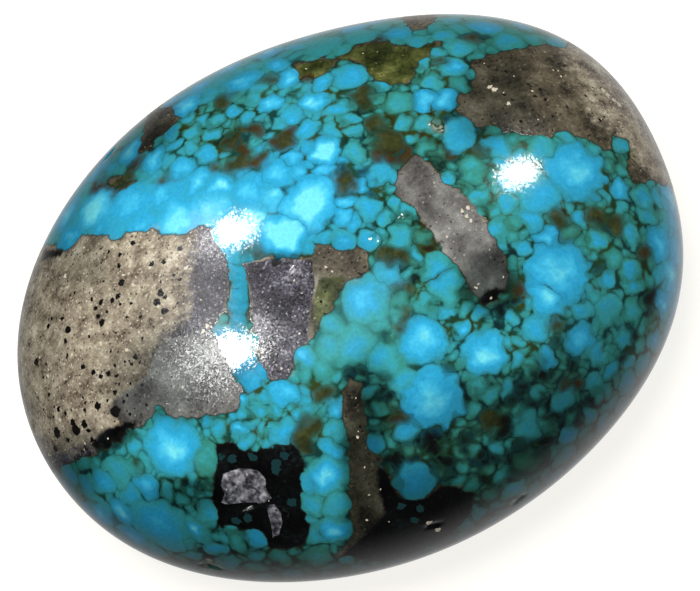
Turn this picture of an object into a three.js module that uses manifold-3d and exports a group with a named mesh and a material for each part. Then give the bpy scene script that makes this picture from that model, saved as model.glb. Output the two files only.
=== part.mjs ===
// A polished turquoise nugget: one oval stone with a high dome, a round girdle, a full
// underside that is lapped flat to rest on, and a few small breaks where its surface shows
// unpolished stone. Millimetres, +Z up, long axis along X, origin under the middle of the
// stone on the plane that it rests on.

import * as THREE from 'three';
import { mergeVertices } from 'three/addons/utils/BufferGeometryUtils.js';
import { ConvexGeometry } from 'three/addons/geometries/ConvexGeometry.js';
import Module from 'manifold-3d';

// Driving dimensions.
const LENGTH = 25.7;
const WIDTH = 20.7;
const HEIGHT = 10.4;
const GIRDLE_HEIGHT = 4.0;      // the widest outline, above the lapped base
const UNDERSIDE_DEPTH = 4.6;    // girdle to the lowest point before the base was lapped
const CROWN_SHOULDER = 0.06;    // how much fuller than an ellipsoid the dome's shoulder is
const UNDERSIDE_SHOULDER = 0.2; // the same for the curve under the girdle
const SUMMIT_SHIFT_X = -0.5;    // the dome's summit lies off the middle of the outline
const SUMMIT_SHIFT_Y = 0.4;

// The girdle is a little out of round. Each entry swells it at so many places around, by a
// share of its radius, the first place being turned from +X by an angle in degrees.
const OUT_OF_ROUND = [
  { places: 3, share: 0.0109, turn: 33.5 },
  { places: 4, share: 0.0082, turn: 39.6 },
  { places: 5, share: 0.0054, turn: 34.8 },
  { places: 6, share: 0.0036, turn: -27.2 },
];

// Low swells that polishing by hand leaves, as waves in the ball that the stone is shaped
// from: the number of radians across its radius along X, Y and Z, and the lift in mm.
const SWELLS = [
  { x: 3.4, y: 1.6, z: 1.1, start: 0.6, lift: 0.035 },
  { x: -1.9, y: 4.3, z: 0.8, start: 2.1, lift: 0.030 },
  { x: 2.2, y: -3.1, z: 2.6, start: 4.4, lift: 0.030 },
];

// Breaks in the polished skin. The place is a direction on the ball that the stone is shaped
// from, in degrees around from +X and up from the girdle. Sizes are in mm, and turn is the
// angle of the long side, counter-clockwise from the direction around the stone.
const BREAKS = [
  { name: 'large chip hollow', around: -127, up: 37, long: 1.95, wide: 1.35, deep: 0.22, turn: 52 },
  { name: 'small chip hollow', around: -121, up: 28, long: 1.35, wide: 0.65, deep: 0.20, turn: 78 },
  { name: 'right girdle chip', around: -81, up: 4, long: 0.60, wide: 0.34, deep: 0.10, turn: 10 },
  { name: 'left girdle chip', around: -135, up: 7, long: 0.95, wide: 0.34, deep: 0.12, turn: 4 },
  { name: 'front girdle chip', around: -95, up: 14, long: 0.50, wide: 0.30, deep: 0.10, turn: -15 },
  { name: 'ringed pit', around: 21, up: 61, long: 0.42, wide: 0.34, deep: 0.14, turn: 20 },
  { name: 'summit pit', around: -38, up: 78, long: 0.50, wide: 0.30, deep: 0.12, turn: 60 },
  { name: 'second summit pit', around: -20, up: 74, long: 0.34, wide: 0.26, deep: 0.10, turn: 0 },
  { name: 'dark patch pit', around: -132, up: 83, long: 0.36, wide: 0.26, deep: 0.10, turn: 30 },
  { name: 'right rim pit', around: -19, up: 24, long: 0.42, wide: 0.24, deep: 0.10, turn: 80 },
  { name: 'right shoulder nick', around: -52, up: 24, long: 0.55, wide: 0.26, deep: 0.10, turn: 35 },
  { name: 'back shoulder pit', around: 118, up: 26, long: 0.60, wide: 0.36, deep: 0.14, turn: 15 },
  { name: 'left end pit', around: 176, up: 12, long: 0.50, wide: 0.32, deep: 0.12, turn: 70 },
];

const SKIN_DETAIL = 17;         // edge splits of the icosahedron that the skin starts from
const BREAK_SIDES = 7;
const BREAK_JAG = 0.22;         // how uneven a break's outline is, as a share of its radius
const BREAK_FLOOR = 0.55;       // floor of a break against its mouth
const BREAK_RISE = 0.6;         // how far a break's cutter stands out of the skin, in its depths
const CUTTER_MARGIN = 2;

const CROWN_HEIGHT = HEIGHT - GIRDLE_HEIGHT;

const wasm = await Module();
wasm.setup();

/** The stone's shape: where a point of the unit ball goes, in mm, with the girdle at z = 0. */
function shaped(ball) {
  const around = Math.atan2(ball.y, ball.x);
  const out = Math.hypot(ball.x, ball.y);
  let girdle = 1;
  for (const { places, share, turn } of OUT_OF_ROUND) {
    const angle = places * (around - THREE.MathUtils.degToRad(turn));
    girdle += share * Math.cos(angle) * out ** places;
  }
  const shoulder = ball.z > 0 ? CROWN_SHOULDER : UNDERSIDE_SHOULDER;
  const rise = ball.z * (1 + shoulder * (1 - ball.z ** 2));
  const summit = Math.max(rise, 0) ** 2;
  const point = new THREE.Vector3(
    ball.x * girdle * LENGTH / 2 + SUMMIT_SHIFT_X * summit,
    ball.y * girdle * WIDTH / 2 + SUMMIT_SHIFT_Y * summit,
    rise * (ball.z > 0 ? CROWN_HEIGHT : UNDERSIDE_DEPTH),
  );
  let lift = 0;
  for (const wave of SWELLS) {
    lift += wave.lift * Math.sin(wave.x * ball.x + wave.y * ball.y + wave.z * ball.z + wave.start);
  }
  return point.addScaledVector(ball, lift);
}

/** The skin before it is cut: a fine ball moved point by point into the stone's shape. */
function skinGeometry() {
  const ball = new THREE.IcosahedronGeometry(1, SKIN_DETAIL);
  ball.deleteAttribute('normal');
  ball.deleteAttribute('uv');
  const skin = mergeVertices(ball, 1e-5);
  const places = skin.getAttribute('position');
  for (let i = 0; i < places.count; i += 1) {
    const direction = new THREE.Vector3().fromBufferAttribute(places, i).normalize();
    const point = shaped(direction);
    places.setXYZ(i, point.x, point.y, point.z);
  }
  return skin;
}

/** The scale and shift that give the skin its exact length and width over the origin. */
function fitOf(skin) {
  const box = new THREE.Box3().setFromBufferAttribute(skin.getAttribute('position'));
  const size = box.getSize(new THREE.Vector3());
  const middle = box.getCenter(new THREE.Vector3());
  const scale = new THREE.Vector3(LENGTH / size.x, WIDTH / size.y, CROWN_HEIGHT / box.max.z);
  return new THREE.Matrix4()
    .makeTranslation(0, 0, GIRDLE_HEIGHT)
    .scale(scale)
    .multiply(new THREE.Matrix4().makeTranslation(-middle.x, -middle.y, 0));
}

/** The unit-ball direction at so many degrees around from +X and up from the girdle. */
function direction(around, up) {
  const a = THREE.MathUtils.degToRad(around);
  const u = THREE.MathUtils.degToRad(up);
  return new THREE.Vector3(Math.cos(a) * Math.cos(u), Math.sin(a) * Math.cos(u), Math.sin(u));
}

/** A frame on the skin: x runs around the stone, z out of it, and the origin is on the skin. */
function skinFrame(around, up, fit) {
  const step = 0.5;
  const at = (a, u) => shaped(direction(a, u)).applyMatrix4(fit);
  const origin = at(around, up);
  const east = at(around + step, up).sub(origin).normalize();
  const north = at(around, up + step).sub(origin);
  const out = new THREE.Vector3().crossVectors(east, north).normalize();
  north.crossVectors(out, east);
  return new THREE.Matrix4().makeBasis(east, north, out).setPosition(origin);
}

/** The faceted body that a break takes out of the stone, placed on the skin. */
function breakGeometry({ around, up, long, wide, deep, turn }, index, fit) {
  const corners = [];
  for (let side = 0; side < BREAK_SIDES; side += 1) {
    const angle = 2 * Math.PI * side / BREAK_SIDES;
    const mouth = 1 + BREAK_JAG * Math.sin(2.3 * side + 1.7 * index);
    const floor = BREAK_FLOOR + BREAK_JAG * Math.sin(3.1 * side + 0.9 * index + 1);
    const x = Math.cos(angle) * long / 2;
    const y = Math.sin(angle) * wide / 2;
    const drop = deep * (0.75 + 0.25 * Math.cos(angle + index));
    corners.push(new THREE.Vector3(x * mouth, y * mouth, deep * BREAK_RISE));
    corners.push(new THREE.Vector3(x * floor, y * floor, -drop));
  }
  const body = new ConvexGeometry(corners);
  body.rotateZ(THREE.MathUtils.degToRad(turn));
  return body.applyMatrix4(skinFrame(around, up, fit));
}

/** A closed three.js geometry as a solid that can be cut. */
function solidOf(geometry) {
  geometry.deleteAttribute('normal');
  geometry.deleteAttribute('uv');
  const merged = mergeVertices(geometry, 1e-5);
  const mesh = new wasm.Mesh({
    numProp: 3,
    vertProperties: new Float32Array(merged.getAttribute('position').array),
    triVerts: new Uint32Array(merged.index.array),
  });
  return new wasm.Manifold(mesh);
}

/** A solid's faces as a three.js geometry with flat facets. */
function geometryOf(solid) {
  const { vertProperties, triVerts } = solid.getMesh();
  const geometry = new THREE.BufferGeometry();
  geometry.setAttribute('position', new THREE.BufferAttribute(vertProperties, 3));
  geometry.setIndex(new THREE.BufferAttribute(triVerts, 1));
  const facets = geometry.toNonIndexed();
  facets.computeVertexNormals();
  return facets;
}

/** The slab of stone that lapping the base removes. */
function lappedSlab() {
  const thick = UNDERSIDE_DEPTH - GIRDLE_HEIGHT + CUTTER_MARGIN;
  const slab = new THREE.BoxGeometry(LENGTH + CUTTER_MARGIN, WIDTH + CUTTER_MARGIN, thick);
  return slab.translate(0, 0, -thick / 2);
}

/** The whole stone: its skin, lapped flat below, less every break. */
function stoneGeometry() {
  const skin = skinGeometry();
  const fit = fitOf(skin);
  let stone = solidOf(skin.applyMatrix4(fit)).subtract(solidOf(lappedSlab()));
  BREAKS.forEach((place, index) => {
    stone = stone.subtract(solidOf(breakGeometry(place, index, fit)));
  });
  return geometryOf(stone);
}

const polishedTurquoise = new THREE.MeshStandardMaterial({
  name: 'polished turquoise',
  color: 0x3a9fb5,
  roughness: 0.16,
  metalness: 0,
});

const nugget = new THREE.Mesh(stoneGeometry(), polishedTurquoise);
nugget.name = 'turquoise_nugget';

const part = new THREE.Group();
part.add(nugget);

export default part;
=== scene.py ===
"""Looks of a polished turquoise nugget: blue cells in a dark web, with patches of its host rock.

The stone is one closed mesh. Its form repeats the solid's formula at a finer grain. Its pattern
is laid out on the surface from the viewpoint of the photograph and carried by mesh attributes,
so that it stays on the stone from every side.
"""

import logging
import math
from collections.abc import Mapping, Sequence
from dataclasses import dataclass, field
from enum import Enum

import bpy
import numpy as np
from mathutils import Matrix, Vector, kdtree


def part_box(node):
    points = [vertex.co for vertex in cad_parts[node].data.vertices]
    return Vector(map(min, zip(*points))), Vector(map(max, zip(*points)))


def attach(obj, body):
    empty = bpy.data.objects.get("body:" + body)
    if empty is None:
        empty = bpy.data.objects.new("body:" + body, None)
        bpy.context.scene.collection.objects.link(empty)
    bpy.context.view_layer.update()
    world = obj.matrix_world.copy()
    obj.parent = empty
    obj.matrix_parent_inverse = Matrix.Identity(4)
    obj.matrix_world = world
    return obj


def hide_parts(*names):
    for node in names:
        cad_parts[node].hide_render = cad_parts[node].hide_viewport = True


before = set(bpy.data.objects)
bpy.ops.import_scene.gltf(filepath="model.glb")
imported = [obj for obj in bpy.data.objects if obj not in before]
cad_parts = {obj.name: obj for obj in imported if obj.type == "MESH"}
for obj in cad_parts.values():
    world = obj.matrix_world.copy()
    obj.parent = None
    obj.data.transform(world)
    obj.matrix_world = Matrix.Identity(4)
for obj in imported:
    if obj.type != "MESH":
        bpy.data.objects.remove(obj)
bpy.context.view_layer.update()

NODE = "turquoise_nugget"
MM = 0.001
SEED = 41
# Each face of the stone knows this many of the cells round it.
CELLS_KNOWN = 4
# A tone is stored as a share of this, so that the whole scale fits a colour ramp.
TONE_SPAN = 4
# Settings that many nodes share: a change with soft ends, and a mix of two colours.
SMOOTH = {"interpolation_type": "SMOOTHSTEP"}
COLOURS = {"data_type": "RGBA", "out": 2}
Socket = bpy.types.NodeSocket
Plug = Mapping[int | str, object]
log = logging.getLogger("nugget")


def linear(hex_colour: str) -> tuple[float, float, float, float]:
    """Turn an sRGB colour into the linear one that shaders use.

    Args:
        hex_colour: Six hex digits, such as "3cb1da".

    Returns:
        Linear red, green, blue and an alpha of one.
    """
    channels = [int(hex_colour[i:i + 2], 16) / 255 for i in (0, 2, 4)]
    low = [c / 12.92 if c <= 0.04045 else ((c + 0.055) / 1.055) ** 2.4 for c in channels]
    return (low[0], low[1], low[2], 1.0)


@dataclass(frozen=True)
class NodeBoard:
    """A material's or a world's tree of nodes."""

    tree: bpy.types.NodeTree

    def add(self, kind: str, inputs: Plug | None = None, out: int | str = 0,
            stops: Sequence[tuple[float, str]] = (), **settings: object) -> Socket:
        """Add a node with its settings and links.

        Args:
            kind: The node's type, without the words that all types begin with.
            inputs: For each input, the socket to link or the value to set.
            out: The output to give back.
            stops: The places and colours of a colour ramp.
            **settings: The node's own properties.

        Returns:
            The chosen output.
        """
        node = self.tree.nodes.new(f"ShaderNode{kind}")
        for name, value in settings.items():
            setattr(node, name, value)
        for place, value in (inputs or {}).items():
            self.plug(value, node.inputs[place])
        for number, (place, colour) in enumerate(stops):
            elements = node.color_ramp.elements
            element = elements[number] if number < 2 else elements.new(place)
            element.position, element.color = place, linear(colour)
        return node.outputs[out]

    def plug(self, value: object, target: Socket) -> None:
        """Link a socket to an input, or set the input to a value.

        Args:
            value: The socket or the value.
            target: The input.
        """
        if isinstance(value, Socket):
            self.tree.links.new(value, target)
        else:
            target.default_value = value


@dataclass(frozen=True)
class PhotoView:
    """The camera of the photograph, which also tells where its pixels fall on the stone.

    Angles are in degrees, the sensor in mm, the picture in pixels and the rest in metres.
    """

    width: int = 700
    height: int = 591
    elevation: float = 68.0
    roll: float = 27.2
    distance: float = 160 * MM
    target: tuple[float, float, float] = (0.0, 0.0, 4.0 * MM)
    aim_right: float = 0.014 * MM
    aim_up: float = 0.137 * MM
    pixels_per_slope: float = 4289.0
    sensor: float = 36.0
    nearest: float = 5 * MM
    farthest: float = 10.0

    def axes(self) -> tuple[np.ndarray, np.ndarray, np.ndarray]:
        """Work out which way the camera faces.

        Returns:
            The picture's right and up, and the way back from the stone to the camera.
        """
        e, r = math.radians(self.elevation), math.radians(self.roll)
        back = np.array([0.0, -math.cos(e), math.sin(e)])
        level_right = np.array([1.0, 0.0, 0.0])
        level_up = np.cross(back, level_right)
        right = level_right * math.cos(r) - level_up * math.sin(r)
        up = level_up * math.cos(r) + level_right * math.sin(r)
        return right, up, back

    def eye(self) -> np.ndarray:
        """Work out where the camera stands.

        Returns:
            Its place, in metres.
        """
        right, up, back = self.axes()
        shift = right * self.aim_right + up * self.aim_up
        return np.array(self.target) + shift + back * self.distance

    def pixels(self, points: np.ndarray) -> np.ndarray:
        """Project points into the picture.

        Args:
            points: Places in metres, one a row.

        Returns:
            Pixel coordinates, x to the right and y down, one pair a row.
        """
        right, up, back = self.axes()
        ray = points - self.eye()
        depth = -(ray @ back)
        x = self.width / 2 + self.pixels_per_slope * (ray @ right) / depth
        y = self.height / 2 - self.pixels_per_slope * (ray @ up) / depth
        return np.stack([x, y], 1)

    def ray(self, x: float, y: float) -> np.ndarray:
        """Look through a pixel.

        Args:
            x: How far right it is in the picture.
            y: How far down it is.

        Returns:
            The direction from the camera, of length one.
        """
        right, up, back = self.axes()
        way = right * (x - self.width / 2) - up * (y - self.height / 2)
        way = way / self.pixels_per_slope - back
        return way / np.linalg.norm(way)

    def make_camera(self) -> bpy.types.Object:
        """Add the camera and make it the scene's.

        Returns:
            The camera.
        """
        data = bpy.data.cameras.new("photo_camera")
        data.sensor_width = self.sensor
        data.lens = self.sensor * self.pixels_per_slope / self.width
        data.clip_start, data.clip_end = self.nearest, self.farthest
        camera = bpy.data.objects.new("photo_camera", data)
        turn = Matrix(np.stack(self.axes(), 1).tolist()).to_4x4()
        camera.matrix_world = Matrix.Translation(Vector(self.eye())) @ turn
        bpy.context.scene.collection.objects.link(camera)
        bpy.context.scene.camera = camera
        return camera


@dataclass(frozen=True)
class Wave:
    """A low swell across the ball that the stone is shaped from, in radians and mm."""

    x: float
    y: float
    z: float
    start: float
    lift: float


@dataclass(frozen=True)
class Break:
    """A small break in the polished skin: degrees around and up, then sizes in mm.

    Its facets are two sloping floors and seven walls. Their levels, slopes and thickness are
    shares of its depth and its mouth, and they turn from break to break.
    """

    name: str
    around: float
    up: float
    long: float
    wide: float
    deep: float
    turn: float
    floors: int = 2
    floor_level: float = 0.62
    floor_step: float = 0.1
    floor_slope: float = 0.9
    walls: int = 7
    wall_jag: float = 0.16
    wall_thick: float = 0.17
    # How far the floors' slopes and the walls' jags turn, in radians a facet and a break.
    floor_turn: tuple[float, float] = (2.4, 1.3)
    wall_turn: tuple[float, float] = (2.3, 1.7)

    def floor(self, u: np.ndarray, v: np.ndarray, index: int) -> np.ndarray:
        """Give the depth of the facets under each place of the mouth.

        Args:
            u: Places along the long side, in mm from the middle.
            v: Places along the short side.
            index: The break's number, which varies its facets.

        Returns:
            Heights of the facets against the skin, high outside the break.
        """
        depth = np.full(len(u), -self.deep)
        for side in range(self.floors):
            tilt = self.floor_turn[0] * side + self.floor_turn[1] * index
            facet = -self.deep * (self.floor_level + self.floor_step * side)
            facet = facet + self.deep * self.floor_slope * (
                np.cos(tilt) * u / self.long + np.sin(tilt) * v / self.wide
            )
            depth = np.maximum(depth, facet)
        for side in range(self.walls):
            angle = 2 * math.pi * (side + 0.5) / self.walls
            jag = math.sin(self.wall_turn[0] * side + self.wall_turn[1] * index)
            reach = 0.5 * (1 + self.wall_jag * jag)
            out = np.cos(angle) * u / self.long + np.sin(angle) * v / self.wide
            depth = np.maximum(depth, (out - reach) * self.deep / self.wall_thick)
        return depth


@dataclass
class StoneForm:
    """The stone's outer shape, in mm."""

    length: float
    width: float
    height: float
    girdle_height: float = 4.0
    underside_depth: float = 4.6
    crown_shoulder: float = 0.06
    underside_shoulder: float = 0.2
    summit_shift: tuple[float, float] = (-0.5, 0.4)
    lap_edge: float = 0.12
    # Swells of the girdle: how many places around, the share of its radius, and the turn.
    out_of_round: tuple[tuple[int, float, float], ...] = (
        (3, 0.0109, 33.5), (4, 0.0082, 39.6), (5, 0.0054, 34.8), (6, 0.0036, -27.2),
    )
    swells: tuple[Wave, ...] = (
        Wave(3.4, 1.6, 1.1, 0.6, 0.035),
        Wave(-1.9, 4.3, 0.8, 2.1, 0.030),
        Wave(2.2, -3.1, 2.6, 4.4, 0.030),
    )
    breaks: tuple[Break, ...] = (
        Break("large chip hollow", -127, 37, 1.95, 1.35, 0.22, 52),
        Break("small chip hollow", -121, 28, 1.35, 0.65, 0.20, 78),
        Break("right girdle chip", -81, 4, 0.60, 0.34, 0.10, 10),
        Break("left girdle chip", -135, 7, 0.95, 0.34, 0.12, 4),
        Break("front girdle chip", -95, 14, 0.50, 0.30, 0.10, -15),
        Break("ringed pit", 21, 61, 0.42, 0.34, 0.14, 20),
        Break("summit pit", -38, 78, 0.50, 0.30, 0.12, 60),
        Break("second summit pit", -20, 74, 0.34, 0.26, 0.10, 0),
        Break("dark patch pit", -132, 83, 0.36, 0.26, 0.10, 30),
        Break("right rim pit", -19, 24, 0.42, 0.24, 0.10, 80),
        Break("right shoulder nick", -52, 24, 0.55, 0.26, 0.10, 35),
        Break("back shoulder pit", 118, 26, 0.60, 0.36, 0.14, 15),
        Break("left end pit", 176, 12, 0.50, 0.32, 0.12, 70),
    )
    # How far apart, in degrees, the places are that show which way the skin faces.
    frame_step: float = 0.5
    fit_scale: np.ndarray = field(default_factory=lambda: np.ones(3))
    fit_shift: np.ndarray = field(default_factory=lambda: np.zeros(3))

    @property
    def crown_height(self) -> float:
        """The dome's height over the girdle."""
        return self.height - self.girdle_height

    def raw(self, ball: np.ndarray) -> np.ndarray:
        """Move points of the unit ball to the stone's shape, with the girdle at z = 0.

        Args:
            ball: Points of the unit ball, one a row.

        Returns:
            Where they go, in mm, before the stone is fitted to its size.
        """
        around = np.arctan2(ball[:, 1], ball[:, 0])
        out = np.hypot(ball[:, 0], ball[:, 1])
        girdle = np.ones(len(ball))
        for places, share, turn in self.out_of_round:
            girdle += share * np.cos(places * (around - math.radians(turn))) * out ** places
        z = ball[:, 2]
        shoulder = np.where(z > 0, self.crown_shoulder, self.underside_shoulder)
        rise = z * (1 + shoulder * (1 - z ** 2))
        summit = np.maximum(rise, 0) ** 2
        points = np.stack([
            ball[:, 0] * girdle * self.length / 2 + self.summit_shift[0] * summit,
            ball[:, 1] * girdle * self.width / 2 + self.summit_shift[1] * summit,
            rise * np.where(z > 0, self.crown_height, self.underside_depth),
        ], 1)
        lift = sum(
            w.lift * np.sin(w.x * ball[:, 0] + w.y * ball[:, 1] + w.z * z + w.start)
            for w in self.swells
        )
        return points + ball * lift[:, None]

    def fit(self, ball: np.ndarray) -> None:
        """Work out the scale and shift that give the stone its exact length and width.

        Args:
            ball: Points all over the unit ball.
        """
        points = self.raw(ball)
        low, high = points.min(0), points.max(0)
        size = high - low
        self.fit_scale = np.array([
            self.length / size[0], self.width / size[1], self.crown_height / high[2],
        ])
        middle = (low + high) / 2
        self.fit_shift = np.array([-middle[0], -middle[1], 0.0])

    def placed(self, ball: np.ndarray) -> np.ndarray:
        """Give where points of the unit ball lie on the stone before its base is lapped."""
        lifted = (self.raw(ball) + self.fit_shift) * self.fit_scale
        return lifted + np.array([0.0, 0.0, self.girdle_height])

    def lapped(self, points: np.ndarray) -> np.ndarray:
        """Flatten what is under the resting plane, with a slightly rounded edge.

        Args:
            points: Places on the skin, in mm.

        Returns:
            The same places, none of them under the plane.
        """
        z, edge = points[:, 2], self.lap_edge
        rounded = (z + edge) ** 2 / (4 * edge)
        flat = np.where(z > edge, z, np.where(z < -edge, 0.0, rounded))
        return np.stack([points[:, 0], points[:, 1], flat], 1)

    def skin_frame(self, around: float, up: float) -> tuple[np.ndarray, np.ndarray]:
        """Find a place on the skin and which way the skin faces there.

        Args:
            around: Degrees around from +X on the unit ball.
            up: Degrees up from the girdle.

        Returns:
            The place in mm, and the frame there: east, north and outwards in rows.
        """
        step = self.frame_step
        turns = np.radians([[around, up], [around + step, up], [around, up + step]])
        ball = np.stack([
            np.cos(turns[:, 0]) * np.cos(turns[:, 1]),
            np.sin(turns[:, 0]) * np.cos(turns[:, 1]),
            np.sin(turns[:, 1]),
        ], 1)
        origin, east_end, north_end = self.placed(ball)
        east = east_end - origin
        east /= np.linalg.norm(east)
        out = np.cross(east, north_end - origin)
        out /= np.linalg.norm(out)
        return origin, np.stack([east, np.cross(out, east), out])

    def broken(self, points: np.ndarray) -> np.ndarray:
        """Take every break out of the skin, as hollows with flat facets.

        Args:
            points: Places on the whole skin, in mm.

        Returns:
            The same places, sunk where the skin is broken.
        """
        result = points.copy()
        for index, place in enumerate(self.breaks):
            origin, basis = self.skin_frame(place.around, place.up)
            turn = math.radians(place.turn)
            spin = np.array([
                [math.cos(turn), math.sin(turn), 0.0],
                [-math.sin(turn), math.cos(turn), 0.0],
                [0.0, 0.0, 1.0],
            ])
            axes = spin @ basis
            near = np.linalg.norm(result - origin, axis=1) < place.long
            local = (result[near] - origin) @ axes.T
            floor = place.floor(local[:, 0], local[:, 1], index)
            local[:, 2] = np.minimum(local[:, 2], floor)
            result[near] = local @ axes + origin
        return result


class Tone(Enum):
    """Colour of a cell: a place on the turquoise scale up to 1, and past it other minerals.

    The pale tone serves both pale specks in the rock and painted glints on chips.
    """

    MOSS = 0.14
    GREEN = 0.28
    TEAL = 0.42
    SEA = 0.54
    BLUE = 0.66
    SKY = 0.78
    BRIGHT = 0.90
    OLIVE = 1.5
    UMBER = 2.0
    BLACK = 2.5
    PALE_AND_GLINT = 3.0
    BEAD = 3.5


class Rock(Enum):
    """A kind of host rock, with its place among the rock attributes. Umber is the rest."""

    UMBER = -1
    SILVER = 0
    OLIVE = 1
    GREY = 2
    TAN = 3
    ROD = 4
    BLACK = 5


@dataclass(frozen=True)
class Nodule:
    """A round cell: its middle and radius in the photograph's pixels, and how its core glows."""

    name: str
    x: float
    y: float
    radius: float
    tone: Tone
    glow: float = 0.3


@dataclass(frozen=True)
class Group:
    """Like cells or specks, by their places in the photograph's pixels."""

    name: str
    tone: Tone
    radius: float
    places: tuple[tuple[float, float], ...]
    glow: float = 0.1


@dataclass(frozen=True)
class Patch:
    """A patch of one rock by its outline in pixels, which may run past the stone's edge.

    A tint only colours what other patches have made rock.
    """

    name: str
    rock: Rock
    outline: tuple[tuple[float, float], ...]
    tint: bool = False

    def depth(self, points: np.ndarray, charted: np.ndarray, pixel: float) -> np.ndarray:
        """Give how deep places lie inside it.

        Args:
            points: Places in metres, which a patch doesn't need.
            charted: Where they lie in the picture.
            pixel: The size of a pixel on the stone, in mm.

        Returns:
            Depths in mm, negative outside.
        """
        return inside_by(charted, self.outline) * pixel


@dataclass(frozen=True)
class Blob:
    """A round patch of rock on the sides that the photograph doesn't show, in mm."""

    name: str
    rock: Rock
    x: float
    y: float
    z: float
    radius: float
    tint: bool = False

    def depth(self, points: np.ndarray, charted: np.ndarray, pixel: float) -> np.ndarray:
        """Give how deep places lie inside it.

        Args:
            points: Places in metres.
            charted: Where they lie in the picture, which a blob doesn't need.
            pixel: The size of a pixel on the stone, which it doesn't need either.

        Returns:
            Depths in mm, negative outside.
        """
        away = points / MM - np.array([self.x, self.y, self.z])
        return self.radius - np.linalg.norm(away, axis=1)


@dataclass(frozen=True)
class Zone:
    """What the cells are like around one place of the picture.

    The place, its reach and the size of its cells are in pixels. Tone is on the turquoise
    scale. Web is how dark the web is, and deep how much darker the colour is, both up to 1.
    Deep is partly the stone's deeper colour and partly painted shade, which darkens the
    rims and the lower right. Pull is how strongly the zone counts against its neighbours.
    """

    name: str
    x: float
    y: float
    reach_x: float
    reach_y: float
    cell: float
    tone: float
    web: float
    deep: float = 0.0
    pull: float = 1.0


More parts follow.
